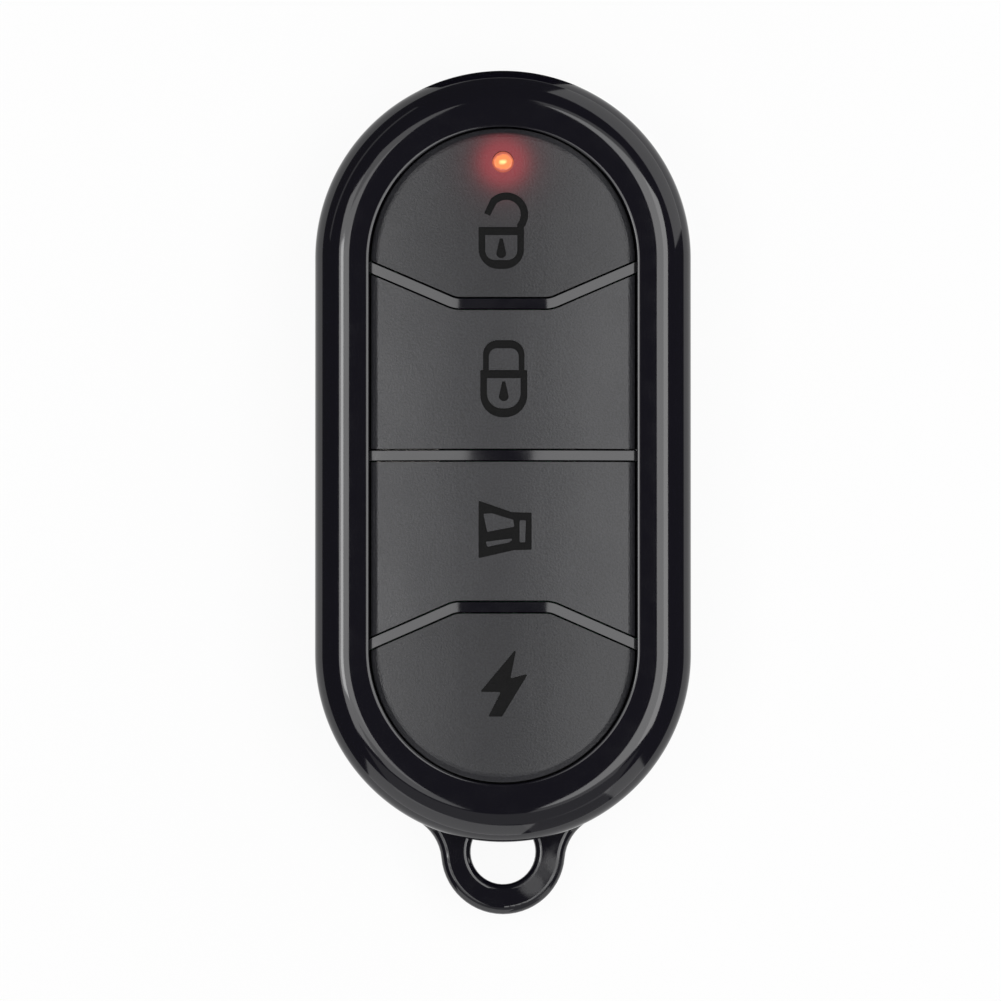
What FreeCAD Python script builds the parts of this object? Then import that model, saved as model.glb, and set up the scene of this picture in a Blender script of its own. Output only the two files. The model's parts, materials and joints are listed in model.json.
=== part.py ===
import FreeCAD, Part
import math
import os

# Four-key radio remote: a two-part screwed case, four sprung keys, a circuit board and a coin cell.
# Millimetres. +Z leaves the face with the keys and +Y points away from the key-ring loop.
# The origin is the middle of the flat back, halfway between the centres of the two round ends.

# Outline of the case
BODY_WIDTH = 30.0
BODY_STRAIGHT = 31.6
WALL = 1.4

# Gloss rim round the keys
RIM_WIDTH = 2.8
RIM_DROP = 2.1
RIM_WALL_HANDLE = 0.52
RIM_BAND_HANDLE = 0.47
BAND_WIDTH = 1.52
BAND_RISE = 0.66
BAND_EDGE_WIDTH = 0.28
BAND_EDGE_DROP = 0.08
OPENING_SHORTENING = 0.56

# Rear cover
REAR_FLOOR = 1.3
REAR_EDGE_WIDTH = 2.6
REAR_EDGE_RISE = 2.8

# Joint between the two halves
SEAM_GAP = 0.05
SEAM_BEVEL = 0.12
LIP_THICKNESS = 0.6
LIP_HEIGHT = 0.8
LIP_SIDE_GAP = 0.15
LIP_END_GAP = 0.1

# Key-ring loop
LOOP_RADIUS = 4.96
LOOP_REACH = 5.76
LOOP_HOLE_RADIUS = 2.59
LOOP_HOLE_LIFT = 0.05
LOOP_THICKNESS = 3.0
LOOP_FLARE = 3.8
LOOP_FLARE_BITE = 0.05
LOOP_EDGE_ROUND = 0.65
LOOP_HOLE_ROUND = 0.55
LOOP_ROOT_MARGIN = 0.5

# Keys
KEY_GAP = 0.15
KEY_BEVEL_WIDTH = 0.54
KEY_BEVEL_DROP = 0.15
KEY_BEVEL_BLEND = 1.0
KEY_EDGE_ROUND = 0.07
KEY_WALL = 0.8
KEY_ROOF = 0.64
KEY_TRAVEL = 0.5
KEY_POST_RADIUS = 1.3
KEY_POST_LENGTH = 0.55
KEY_PLUNGER_GAP = 0.05
FLANGE_REACH = 0.8
FLANGE_THICKNESS = 0.7
FLANGE_GAP = 0.1
CROWN_RISE = 0.96

# Dividers between the keys
DIVIDER_WIDTH = 0.84
DIVIDER_GAP = 0.11
DIVIDER_SPACING = 12.1
DIVIDER_FLAT = 7.68
DIVIDER_SLOPE = 23.5
DIVIDER_BEND = 2.2
DIVIDER_SINK = 0.12
DIVIDER_END_THICKNESS = 0.52
DIVIDER_ROOT_HEIGHT = 0.28
DIVIDER_ROOT_BITE = 0.4

# Places of the switches, lens and symbols
END_SWITCH_FROM_KEY_END = 7.65
LENS_FROM_KEY_END = 2.65
UNLOCK_SYMBOL_AT = (-0.14, -0.5)
LOCK_SYMBOL_AT = (0.06, 0.05)
HORN_SYMBOL_AT = (0.16, 0.12)
FLASH_SYMBOL_AT = (0.02, 0.2)

# Symbols, sunk in the keys and filled
SYMBOL_DEPTH = 0.25
SYMBOL_SINK = 0.12
PADLOCK_BAR = 0.66
PADLOCK_SIDE = 0.53
PADLOCK_BASE = 0.72
OPEN_PADLOCK_WIDTH = 3.62
OPEN_PADLOCK_HEIGHT = 3.36
OPEN_PADLOCK_CORNER_SHARE = 0.88
OPEN_PADLOCK_INNER_SHARE = 0.62
SHUT_PADLOCK_WIDTH = 3.74
SHUT_PADLOCK_HEIGHT = 3.78
SHUT_PADLOCK_CORNER_SHARE = 0.95
SHUT_PADLOCK_INNER_SHARE = 0.9
SHACKLE_RISE = 2.38
SHACKLE_WIDTH = 3.3
SHACKLE_STROKE = 0.46
SHACKLE_TOP = 0.66
SHACKLE_CORNER = 1.15
SHACKLE_INNER_CORNER = 0.65
OPEN_SHACKLE_RADIUS = 1.45
OPEN_SHACKLE_STROKE = 0.6
OPEN_SHACKLE_SHIFT = 0.4
OPEN_SHACKLE_RISE = 1.0
OPEN_SHACKLE_FOOT = 0.86
OPEN_SHACKLE_LIMB_LENGTH = 1.26
OPEN_SHACKLE_LIMB_WIDTH = 0.52
OPEN_SHACKLE_LIMB_SLANT = 25.0
KEYHOLE_RADIUS = 0.39
KEYHOLE_HEIGHT = 1.58
KEYHOLE_TIP = 0.24
KEYHOLE_FROM_TOP = 1.7
HORN_OUTLINE = ((-2.11, 2.32), (0.55, 1.40), (2.12, 1.36), (2.12, -1.60), (0.70, -1.64), (-2.11, -2.28))
HORN_UPPER_WINDOW = ((-1.72, 1.26), (-1.05, 1.30), (0.66, 0.78), (0.74, 0.24), (-1.42, -0.17))
HORN_LOWER_WINDOW = ((-1.53, -0.96), (0.77, -0.68), (0.29, -1.02), (-1.42, -1.36))
HORN_SLOT = ((1.16, 0.74), (1.66, 0.74), (1.60, -1.00), (1.16, -1.00))
FLASH_UPPER_POINTS = ((-1.85, -0.65), (1.05, 2.82), (0.57, 0.43), (1.98, 0.80))
FLASH_LOWER_POINTS = ((-0.10, -2.62), (-1.20, -2.62), (-0.20, -0.67))
SYMBOL_CORNER = 0.08

# Light pipe of the status lamp
LENS_RADIUS = 0.83
LENS_HOLE_GAP = 0.04
LENS_HEAD_RADIUS = 1.1
LENS_HEAD_HEIGHT = 0.5
LENS_SINK = 0.05
LENS_TOP_ROUND = 0.2

# Case screws
SCREW_FROM_WALL = 3.0
SCREW_ANGLE = 40.0
SCREW_SHANK_RADIUS = 0.85
SCREW_HEAD_RADIUS = 1.45
SCREW_HEAD_HEIGHT = 1.1
SCREW_HEAD_SINK = 0.8
SCREW_HEAD_GAP = 0.15
SCREW_POINT = 0.7
SCREW_THREAD_BITE_GAP = 0.02
SCREW_CLEARANCE = 0.1
RECESS_WIDTH = 0.45
RECESS_SPAN = 1.9
RECESS_DEPTH = 0.6
PILOT_RELIEF = 0.3
POST_WALL = 0.6
POST_GAP = 0.1
BOSS_WALL = 1.03
BOSS_BELOW_BOARD = 0.9
BOSS_FLANGE_GAP = 0.3
BOSS_ROOF = 0.6
WEB_WIDTH = 3.0
WEB_LIP_GAP = 0.3

# Circuit board and what holds it
BOARD_THICKNESS = 1.0
BOARD_EDGE_GAP = 0.4
BOARD_NOTCH_GAP = 0.3
SUPPORT_FROM_END = 3.8
SUPPORT_REACH = 2.0
SUPPORT_WIDTH = 1.2
HOLD_DOWN_SPACING = 14.0
HOLD_DOWN_REACH = 1.6
HOLD_DOWN_LIP_GAP = 0.2

# Coin cell and its contacts
CELL_RADIUS = 10.0
CELL_THICKNESS = 3.2
CELL_CENTRE_Y = -3.0
CELL_CAP_STEP = 1.2
CELL_CAP_HEIGHT = 0.3
CELL_EDGE_ROUND = 0.3
CELL_PIN_RADIUS = 0.6
CELL_PIN_GAP = 0.3
CELL_PIN_HEIGHT = 2.2
CELL_PIN_ANGLES = (60, 120, 240, 300)
CLIP_THICKNESS = 0.3
CLIP_WIDTH = 5.0
CLIP_FLOOR_GAP = 0.15
CLIP_CELL_GAP = 0.4
CLIP_FOOT_INSET = 1.1
NEGATIVE_CONTACT_RADIUS = 4.5
NEGATIVE_CONTACT_THICKNESS = 0.25

# Tactile switches
SWITCH_WIDTH = 5.2
SWITCH_BASE_HEIGHT = 1.3
SWITCH_WELL_RADIUS = 1.8
SWITCH_WELL_FLOOR = 0.3
SWITCH_COVER_THICKNESS = 0.2
DOME_HEIGHT = 0.6
DOME_THICKNESS = 0.1
DOME_SIDE_GAP = 0.15
DOME_PLUNGER_GAP = 0.05
PLUNGER_RADIUS = 1.2
PLUNGER_STAND_OUT = 1.3
PLUNGER_SIDE_GAP = 0.1
PLUNGER_COLLAR_REACH = 0.4
PLUNGER_COLLAR_GAP = 0.05
SWITCH_LEAD_SPACING = 3.7
SWITCH_LEAD_WIDTH = 0.7
SWITCH_LEAD_SIZE = (1.1, 0.45, 0.5)

# Parts soldered to the board, each placed by its distance in from the nearer long edge, and y
LED_SIZE = (2.0, 1.25, 0.8)
CHIP_PLACE = (5.4, 0.0)
CHIP_SIZE = (3.9, 4.9, 1.4)
CHIP_LIFT = 0.1
CHIP_PIN_PITCH = 1.27
CHIP_PINS_PER_SIDE = 4
CHIP_PIN_WIDTH = 0.4
TRANSISTOR_PLACE = (5.6, 8.6)
TRANSISTOR_SIZE = (1.3, 2.9, 1.0)
TRANSISTOR_PIN_SPREAD = 1.9
TRANSISTOR_PIN_WIDTH = 0.45
CHIP_LEAD_SIZE = (1.0, 0.4, 0.75)
LEAD_THICKNESS = 0.15
RESONATOR_PLACE = (5.6, 0.5)
RESONATOR_SIZE = (5.0, 5.0, 1.3)
RESONATOR_CORNER = 0.5
INDUCTOR_PLACE = (5.8, 13.0)
INDUCTOR_SIZE = (3.0, 3.0, 1.2)
INDUCTOR_CORNER = 0.4
RESISTOR_SIZE = (2.0, 1.25, 0.5)
RESISTOR_PLACES = ((6.8, 6.2), (3.8, 6.2), (6.8, 8.6), (3.8, 8.6), (5.3, 11.0))
CAPACITOR_SIZE = (2.0, 1.25, 0.9)
RIGHT_CAPACITOR_PLACES = ((6.8, -6.4), (3.8, -6.4))
LEFT_CAPACITOR_PLACES = ((6.8, -6.2), (6.8, -8.8))
TRACE_WIDTH = 0.6
TRACE_THICKNESS = 0.1
TRACE_EDGE_GAP = 1.9
TRACE_LENGTH = 24.0
TRACE_HOOK = 1.6

# Share of a quarter round's radius at which its curve handles stand
QUARTER_HANDLE = 0.5523
# How far a tool reaches past what it cuts
PAST = 1.0
# How deep two fused lumps overlap
OVERLAP = 0.3
# Lengths closer than this count as equal
TOLERANCE = 0.001

UP = FreeCAD.Vector(0, 0, 1)
ORIGIN = FreeCAD.Vector(0, 0, 0)

# Radii of the nested outlines: the case's about its own straight, the keys' about the opening's
half_straight = BODY_STRAIGHT / 2
opening_straight = BODY_STRAIGHT - OPENING_SHORTENING
half_opening = opening_straight / 2
body_radius = BODY_WIDTH / 2
interior_radius = body_radius - WALL
opening_radius = body_radius - RIM_WIDTH - BAND_WIDTH
key_radius = opening_radius - KEY_GAP
flange_radius = key_radius + FLANGE_REACH
pocket_radius = key_radius - KEY_WALL
lip_radius = interior_radius + LIP_THICKNESS
rebate_radius = lip_radius + LIP_SIDE_GAP
board_radius = interior_radius - BOARD_EDGE_GAP

# Levels of the inner stack, from the back up
floor_top = REAR_FLOOR
clip_bottom = floor_top + CLIP_FLOOR_GAP
cell_bottom = clip_bottom + CLIP_THICKNESS
cell_top = cell_bottom + CELL_THICKNESS
board_bottom = cell_top + NEGATIVE_CONTACT_THICKNESS
board_top = board_bottom + BOARD_THICKNESS
switch_base_top = board_top + SWITCH_BASE_HEIGHT
switch_cover_top = switch_base_top + SWITCH_COVER_THICKNESS
plunger_top = switch_cover_top + PLUNGER_STAND_OUT
post_bottom = plunger_top + KEY_PLUNGER_GAP
flange_bottom = post_bottom + KEY_POST_LENGTH
flange_top = flange_bottom + FLANGE_THICKNESS
ceiling = flange_top + FLANGE_GAP

# Levels of the keys' face
crown_edge = ceiling + DIVIDER_END_THICKNESS + DIVIDER_SINK
crown_top = crown_edge + CROWN_RISE
band_top = crown_edge + BAND_RISE
pocket_top = crown_edge - KEY_ROOF
crown_radius = (opening_radius ** 2 + CROWN_RISE ** 2) / (2 * CROWN_RISE)
recess_floor = crown_top - SYMBOL_DEPTH

# Levels of the joint between the halves
parting = board_top
seam_bottom = parting - SEAM_GAP / 2
seam_top = parting + SEAM_GAP / 2
lip_top = parting + LIP_HEIGHT
rebate_top = lip_top + LIP_END_GAP

# Levels and radii of the screws and bosses
head_seat = SCREW_HEAD_SINK + SCREW_HEAD_HEIGHT
boss_bottom = board_bottom - BOSS_BELOW_BOARD
rear_post_top = boss_bottom - POST_GAP
boss_top = flange_bottom - KEY_TRAVEL - BOSS_FLANGE_GAP
pilot_top = boss_top - BOSS_ROOF
screw_tip = pilot_top - PILOT_RELIEF
screw_radial = interior_radius - SCREW_FROM_WALL
boss_radius = SCREW_SHANK_RADIUS + BOSS_WALL
counterbore_radius = SCREW_HEAD_RADIUS + SCREW_HEAD_GAP

# Keys from the far end to the loop end, each with the place of its switch along the case
key_end_y = half_opening + key_radius
end_switch_y = key_end_y - END_SWITCH_FROM_KEY_END
middle_switch_y = DIVIDER_SPACING / 2
SWITCH_Y = {
    "unlock": end_switch_y,
    "lock": middle_switch_y,
    "horn": -middle_switch_y,
    "flash": -end_switch_y,
}
lens_y = key_end_y - LENS_FROM_KEY_END


def vec(x, y, z=0.0):
    return FreeCAD.Vector(x, y, z)


def joined(shapes):
    """One solid, or a few, from lumps that overlap or meet."""
    return shapes[0].multiFuse(shapes[1:]).removeSplitter()


def box(x0, x1, y0, y1, z0, z1):
    return Part.makeBox(x1 - x0, y1 - y0, z1 - z0, vec(x0, y0, z0))


def block(place, size, bottom):
    """Upright box centred on a place of the board."""
    x, y = place
    width, length, height = size
    return box(x - width / 2, x + width / 2, y - length / 2, y + length / 2, bottom, bottom + height)


def cylinder(radius, x, y, bottom, top):
    return Part.makeCylinder(radius, top - bottom, vec(x, y, bottom))


def on_right(place):
    """The point of the board that is so far in from its right edge."""
    inset, y = place
    return (board_radius - inset, y)


def on_left(place):
    inset, y = place
    return (inset - board_radius, y)


def lines(points):
    return [Part.makeLine(first, second) for first, second in zip(points, points[1:])]


def quarter_round(start, corner, end, first_share=QUARTER_HANDLE, last_share=QUARTER_HANDLE):
    """Curve from start to end, tangent there to the lines that meet in corner; a quarter ellipse
    when both handles stand at QUARTER_HANDLE."""
    curve = Part.BezierCurve()
    first_handle = start + (corner - start) * first_share
    last_handle = end + (corner - end) * last_share
    curve.setPoles([start, first_handle, last_handle, end])
    return curve.toShape()


def rounded_wire(corners, z):
    """Closed outline through corners of (x, y, radius), each turned by an arc of its radius."""
    starts = []
    ends = []
    arcs = []
    count = len(corners)
    for index, (x, y, radius) in enumerate(corners):
        corner = vec(x, y, z)
        if radius == 0:
            starts.append(corner)
            ends.append(corner)
            arcs.append(None)
            continue
        back = vec(corners[index - 1][0], corners[index - 1][1], z) - corner
        ahead = vec(corners[(index + 1) % count][0], corners[(index + 1) % count][1], z) - corner
        half_angle = back.getAngle(ahead) / 2
        back.normalize()
        ahead.normalize()
        middle = back + ahead
        middle.normalize()
        tangent = radius / math.tan(half_angle)
        start = corner + back * tangent
        end = corner + ahead * tangent
        crest = corner + middle * (radius / math.sin(half_angle) - radius)
        starts.append(start)
        ends.append(end)
        arcs.append(Part.Arc(start, crest, end).toShape())
    edges = []
    for index in range(count):
        if arcs[index]:
            edges.append(arcs[index])
        start_of_line = ends[index]
        end_of_line = starts[(index + 1) % count]
        edges.append(Part.makeLine(start_of_line, end_of_line))
    return Part.Wire(edges)


def prism(corners, bottom, top):
    return Part.Face(rounded_wire(corners, bottom)).extrude(vec(0, 0, top - bottom))


def rounded_box(place, size, corner, bottom):
    x, y = place
    width, length, height = size
    corners = [
        (x - width / 2, y - length / 2, corner),
        (x + width / 2, y - length / 2, corner),
        (x + width / 2, y + length / 2, corner),
        (x - width / 2, y + length / 2, corner),
    ]
    return prism(corners, bottom, bottom + height)


def stadium(radius, bottom, top, y=half_straight):
    """Upright solid with the outline of the case at another radius; y is half its straight."""
    edges = [
        Part.makeLine(vec(radius, -y, bottom), vec(radius, y, bottom)),
        Part.Arc(vec(radius, y, bottom), vec(0, y + radius, bottom), vec(-radius, y, bottom)).toShape(),
        Part.makeLine(vec(-radius, y, bottom), vec(-radius, -y, bottom)),
        Part.Arc(vec(-radius, -y, bottom), vec(0, -y - radius, bottom), vec(radius, -y, bottom)).toShape(),
    ]
    return Part.Face(Part.Wire(edges)).extrude(vec(0, 0, top - bottom))


def racetrack(profile, straight=BODY_STRAIGHT):
    """Carries a profile, drawn at x >= 0 in the XZ plane, right round two half circles and their straights."""
    far_centre = vec(0, straight / 2, 0)
    far_end = profile.translated(far_centre).revolve(far_centre, UP, 180)
    right_side = profile.translated(vec(0, -straight / 2, 0)).extrude(vec(0, straight, 0))
    near_end = far_end.rotated(ORIGIN, UP, 180)
    left_side = right_side.rotated(ORIGIN, UP, 180)
    return joined([far_end, right_side, near_end, left_side])


def crown_block(sink, bottom):
    """Everything over bottom that lies under the crowned surface, lowered by sink."""
    half = body_radius
    drop = crown_radius - math.sqrt(crown_radius ** 2 - half ** 2)
    top = crown_top - sink
    reach = half_straight + body_radius
    left = vec(-half, -reach, top - drop)
    right = vec(half, -reach, top - drop)
    edges = [
        Part.makeLine(vec(-half, -reach, bottom), vec(half, -reach, bottom)),
        Part.makeLine(vec(half, -reach, bottom), right),
        Part.Arc(right, vec(0, -reach, top), left).toShape(),
        Part.makeLine(left, vec(-half, -reach, bottom)),
    ]
    return Part.Face(Part.Wire(edges)).extrude(vec(0, 2 * reach, 0))


def bent_strip(side, half_width, bottom, top):
    """Upright strip along an outer divider: flat in the middle, sloping away from the centre."""
    slope = math.radians(DIVIDER_SLOPE)
    reach = body_radius
    rows = []
    for offset in (half_width, -half_width):
        bend_x = DIVIDER_FLAT / 2 - offset * math.tan(slope / 2)
        bend_y = DIVIDER_SPACING + offset
        end_y = bend_y + (reach - bend_x) * math.tan(slope)
        radius = DIVIDER_BEND - offset
        row = [
            (-reach, side * end_y, 0),
            (-bend_x, side * bend_y, radius),
            (bend_x, side * bend_y, radius),
            (reach, side * end_y, 0),
        ]
        rows.append(row)
    return prism(rows[0] + rows[1][::-1], bottom, top)


def divider_strips(half_width, bottom, top):
    """The three strips between the keys, over their whole width."""
    straight = box(-body_radius, body_radius, -half_width, half_width, bottom, top)
    return [bent_strip(1, half_width, bottom, top), straight, bent_strip(-1, half_width, bottom, top)]


def screw_places():
    """Centre of each case screw with the direction, in degrees, from the end's centre to it."""
    places = []
    for side in (1, -1):
        for turn in (SCREW_ANGLE, -SCREW_ANGLE):
            angle = math.radians(90 - turn)
            x = screw_radial * math.cos(angle)
            y = side * (half_straight + screw_radial * math.sin(angle))
            places.append((x, y, side * (90 - turn)))
    return places


def radial_bar(place, length, width, bottom, top):
    """Bar from a screw's centre straight out towards the wall."""
    x, y, direction = place
    bar = box(0, length, -width / 2, width / 2, bottom, top)
    return bar.rotated(ORIGIN, UP, direction).translated(vec(x, y, 0))


def front_profile():
    """Section of the front half before the opening is cut: the rim reaches in under it."""
    at = FreeCAD.Vector
    wall_top = at(body_radius, 0, band_top - RIM_DROP)
    band_outer = at(body_radius - RIM_WIDTH, 0, band_top)
    inner_radius = opening_radius - PAST
    lower = [
        at(inner_radius, 0, band_top),
        at(inner_radius, 0, ceiling),
        at(interior_radius, 0, ceiling),
        at(interior_radius, 0, rebate_top),
        at(rebate_radius, 0, rebate_top),
        at(rebate_radius, 0, seam_top),
        at(body_radius - SEAM_BEVEL, 0, seam_top),
        at(body_radius, 0, seam_top + SEAM_BEVEL),
        wall_top,
    ]
    edges = lines(lower)
    shoulder_corner = at(body_radius, 0, band_top)
    edges.append(quarter_round(wall_top, shoulder_corner, band_outer, RIM_WALL_HANDLE, RIM_BAND_HANDLE))
    edges.append(Part.makeLine(band_outer, at(inner_radius, 0, band_top)))
    return Part.Face(Part.Wire(edges))


def opening_profile():
    """Section of the opening for the keys, with the band's rounded edge."""
    at = FreeCAD.Vector
    edge_lower = at(opening_radius, 0, band_top - BAND_EDGE_DROP)
    band_inner = at(opening_radius + BAND_EDGE_WIDTH, 0, band_top)
    edges = lines([
        band_inner,
        at(opening_radius + BAND_EDGE_WIDTH, 0, band_top + PAST),
        at(0, 0, band_top + PAST),
        at(0, 0, ceiling - PAST),
        at(opening_radius, 0, ceiling - PAST),
        edge_lower,
    ])
    edges.append(quarter_round(edge_lower, at(opening_radius, 0, band_top), band_inner))
    return Part.Face(Part.Wire(edges))


def dividers():
    """Gloss bars between the keys, a groove short of the rim and joined to it below that groove."""
    half_width = DIVIDER_WIDTH / 2
    crown = crown_block(DIVIDER_SINK, ceiling)
    inner_field = stadium(key_radius, ceiling, crown_top, half_opening)
    root_top = ceiling + DIVIDER_ROOT_HEIGHT
    root_field = stadium(opening_radius + DIVIDER_ROOT_BITE, ceiling, root_top, half_opening)
    bars = []
    for strip in divider_strips(half_width, ceiling, crown_top):
        bars.append(strip.common(crown).common(inner_field))
    for strip in divider_strips(half_width, ceiling, root_top):
        bars.append(strip.common(root_field))
    return bars


def hold_downs():
    """Ribs under the ceiling that press the board onto the rear cover's supports."""
    outer = interior_radius - HOLD_DOWN_LIP_GAP
    inner = interior_radius - HOLD_DOWN_REACH
    ribs = []
    for y in (HOLD_DOWN_SPACING / 2, -HOLD_DOWN_SPACING / 2):
        low = y - SUPPORT_WIDTH / 2
        high = y + SUPPORT_WIDTH / 2
        ribs.append(box(inner, outer, low, high, board_top, ceiling + OVERLAP))
        ribs.append(box(-outer, -inner, low, high, board_top, ceiling + OVERLAP))
    return ribs


def front_shell():
    rim = racetrack(front_profile()).cut(racetrack(opening_profile(), opening_straight))
    lumps = [rim] + dividers() + hold_downs()
    web_length = interior_radius + WALL / 2 - screw_radial
    for place in screw_places():
        lumps.append(cylinder(boss_radius, place[0], place[1], boss_bottom, boss_top))
        lumps.append(radial_bar(place, web_length, WEB_WIDTH, lip_top + WEB_LIP_GAP, boss_top))
    shell = joined(lumps)
    pilot_radius = SCREW_SHANK_RADIUS + SCREW_THREAD_BITE_GAP
    pilots = [cylinder(pilot_radius, x, y, boss_bottom - PAST, pilot_top) for x, y, _ in screw_places()]
    return shell.cut(pilots)


def rear_profile():
    at = FreeCAD.Vector
    flat_edge = at(body_radius - REAR_EDGE_WIDTH, 0, 0)
    wall_bottom = at(body_radius, 0, REAR_EDGE_RISE)
    upper = [
        wall_bottom,
        at(body_radius, 0, seam_bottom - SEAM_BEVEL),
        at(body_radius - SEAM_BEVEL, 0, seam_bottom),
        at(0, 0, seam_bottom),
        at(0, 0, 0),
        flat_edge,
    ]
    edges = lines(upper)
    edges.append(quarter_round(flat_edge, at(body_radius, 0, 0), wall_bottom))
    return Part.Face(Part.Wire(edges))


def key_ring_loop():
    """Flat loop with a round hole, flared into the end wall and rounded along its edges."""
    top = seam_bottom
    bottom = top - LOOP_THICKNESS
    centre_y = -(body_radius + half_straight) - LOOP_REACH + LOOP_RADIUS
    hole_y = centre_y + LOOP_HOLE_LIFT
    spacing = -half_straight - centre_y
    to_loop = LOOP_RADIUS + LOOP_FLARE
    to_end = body_radius - LOOP_FLARE_BITE + LOOP_FLARE
    flare_depth = (to_end ** 2 - to_loop ** 2 + spacing ** 2) / (2 * spacing)
    flare = vec(math.sqrt(to_end ** 2 - flare_depth ** 2), -half_straight - flare_depth, bottom)
    loop_centre = vec(0, centre_y, bottom)
    end_centre = vec(0, -half_straight, bottom)
    touch = loop_centre + (flare - loop_centre) * (LOOP_RADIUS / to_loop)
    tip = end_centre + (flare - end_centre) * ((to_end - LOOP_FLARE) / to_end)
    to_crest = (touch - flare) + (tip - flare)
    to_crest.normalize()
    crest = flare + to_crest * LOOP_FLARE
    root_radius = -half_straight - hole_y - LOOP_HOLE_RADIUS - LOOP_HOLE_ROUND - LOOP_ROOT_MARGIN
    root = end_centre + (tip - end_centre) * (root_radius / body_radius)
    edges = [
        Part.makeLine(mirrored(root), mirrored(tip)),
        Part.Arc(mirrored(tip), mirrored(crest), mirrored(touch)).toShape(),
        Part.Arc(mirrored(touch), loop_centre - vec(0, LOOP_RADIUS), touch).toShape(),
        Part.Arc(touch, crest, tip).toShape(),
        Part.makeLine(tip, root),
        Part.makeLine(root, mirrored(root)),
    ]
    plate = Part.Face(Part.Wire(edges)).extrude(vec(0, 0, LOOP_THICKNESS))
    rim = [edge for edge in plate.Edges if is_level(edge) and highest_y(edge) < tip.y + TOLERANCE]
    plate = plate.makeFillet(LOOP_EDGE_ROUND, rim)
    plate = plate.cut(cylinder(LOOP_HOLE_RADIUS, 0, hole_y, bottom - PAST, top + PAST))
    mouths = [edge for edge in plate.Edges if is_circle_of(edge, LOOP_HOLE_RADIUS)]
    return plate.makeFillet(LOOP_HOLE_ROUND, mouths)


def mirrored(point):
    return vec(-point.x, point.y, point.z)


def is_level(edge):
    return edge.BoundBox.ZLength < TOLERANCE


def highest_y(edge):
    return max(vertex.Y for vertex in edge.Vertexes)


def is_circle_of(edge, radius):
    """Tells a whole circle of that radius that lies level."""
    return is_level(edge) and abs(edge.Length - 2 * math.pi * radius) < TOLERANCE


def board_supports():
    """Ribs on the inner side walls that the board lies on."""
    outer = interior_radius + WALL / 2
    inner = interior_radius - SUPPORT_REACH
    ribs = []
    for y in (half_straight - SUPPORT_FROM_END, SUPPORT_FROM_END - half_straight):
        low = y - SUPPORT_WIDTH / 2
        high = y + SUPPORT_WIDTH / 2
        ribs.append(box(inner, outer, low, high, floor_top - OVERLAP, board_bottom))
        ribs.append(box(-outer, -inner, low, high, floor_top - OVERLAP, board_bottom))
    return ribs


def cell_pins():
    """Short pins on the floor that keep the coin cell from sliding."""
    ring = CELL_RADIUS + CELL_PIN_GAP + CELL_PIN_RADIUS
    pins = []
    for degrees in CELL_PIN_ANGLES:
        angle = math.radians(degrees)
        x = ring * math.cos(angle)
        y = CELL_CENTRE_Y + ring * math.sin(angle)
        pins.append(cylinder(CELL_PIN_RADIUS, x, y, floor_top - OVERLAP, floor_top + CELL_PIN_HEIGHT))
    return pins


def rear_cover():
    lump = joined([racetrack(rear_profile()), key_ring_loop()])
    tray = lump.cut(stadium(interior_radius, floor_top, seam_bottom + PAST))
    lip = stadium(lip_radius, board_bottom, lip_top).cut(stadium(interior_radius, board_bottom, lip_top))
    lumps = [tray, lip] + board_supports() + cell_pins()
    for x, y, _ in screw_places():
        lumps.append(cylinder(counterbore_radius + POST_WALL, x, y, floor_top - OVERLAP, rear_post_top))
    cover = joined(lumps)
    holes = []
    for x, y, _ in screw_places():
        holes.append(cylinder(counterbore_radius, x, y, -PAST, head_seat))
        holes.append(cylinder(SCREW_SHANK_RADIUS + SCREW_CLEARANCE, x, y, 0, rear_post_top + PAST))
    return cover.cut(holes)


def is_on_key_wall(vertex, lowest):
    return vertex.Z > lowest and abs(abs(vertex.X) - key_radius) < TOLERANCE


def key_field():
    """All four keys as one piece: crowned top with a shallow bevel round its edge, and the flange below."""
    top = stadium(key_radius, flange_bottom, crown_top + PAST, half_opening)
    top = top.common(crown_block(0, flange_bottom))
    lowest = flange_bottom + FLANGE_THICKNESS
    rim = [edge for edge in top.Edges if all(vertex.Z > lowest for vertex in edge.Vertexes)]
    top = top.makeChamfer(KEY_BEVEL_DROP, KEY_BEVEL_WIDTH, rim)
    crown = max(top.Faces, key=lambda face: face.CenterOfMass.z)
    top = top.makeFillet(KEY_BEVEL_BLEND, crown.Edges)
    outer = [edge for edge in top.Edges if all(is_on_key_wall(vertex, lowest) for vertex in edge.Vertexes)]
    top = top.makeFillet(KEY_EDGE_ROUND, outer)
    return joined([top, stadium(flange_radius, flange_bottom, flange_top, half_opening)])


def key_blanks():
    """The four hollow keys in the order of SWITCH_Y, still without posts, symbols or lens hole."""
    cut_half = DIVIDER_WIDTH / 2 + DIVIDER_GAP
    high = crown_top + PAST
    field = key_field().cut(divider_strips(cut_half, flange_bottom - PAST, high))
    hollow = stadium(pocket_radius, flange_bottom - PAST, pocket_top, half_opening)
    hollow = hollow.cut(divider_strips(cut_half + KEY_WALL, flange_bottom - 2 * PAST, high))
    keys = field.cut(hollow).Solids
    return sorted(keys, key=lambda solid: -solid.CenterOfMass.y)


def sharp(points):
    return [(x, y, SYMBOL_CORNER) for x, y in points]


def keyhole(bottom, top):
    """Drop with its tip up, around the origin's height."""
    low = -KEYHOLE_HEIGHT / 2
    drop = cylinder(KEYHOLE_RADIUS, 0, low + KEYHOLE_RADIUS, bottom, top)
    half_tip = KEYHOLE_TIP / 2
    wedge = [
        (-KEYHOLE_RADIUS, low + KEYHOLE_RADIUS, 0),
        (KEYHOLE_RADIUS, low + KEYHOLE_RADIUS, 0),
        (half_tip, -low, 0),
        (-half_tip, -low, 0),
    ]
    return joined([drop, prism(wedge, bottom, top)])


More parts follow.
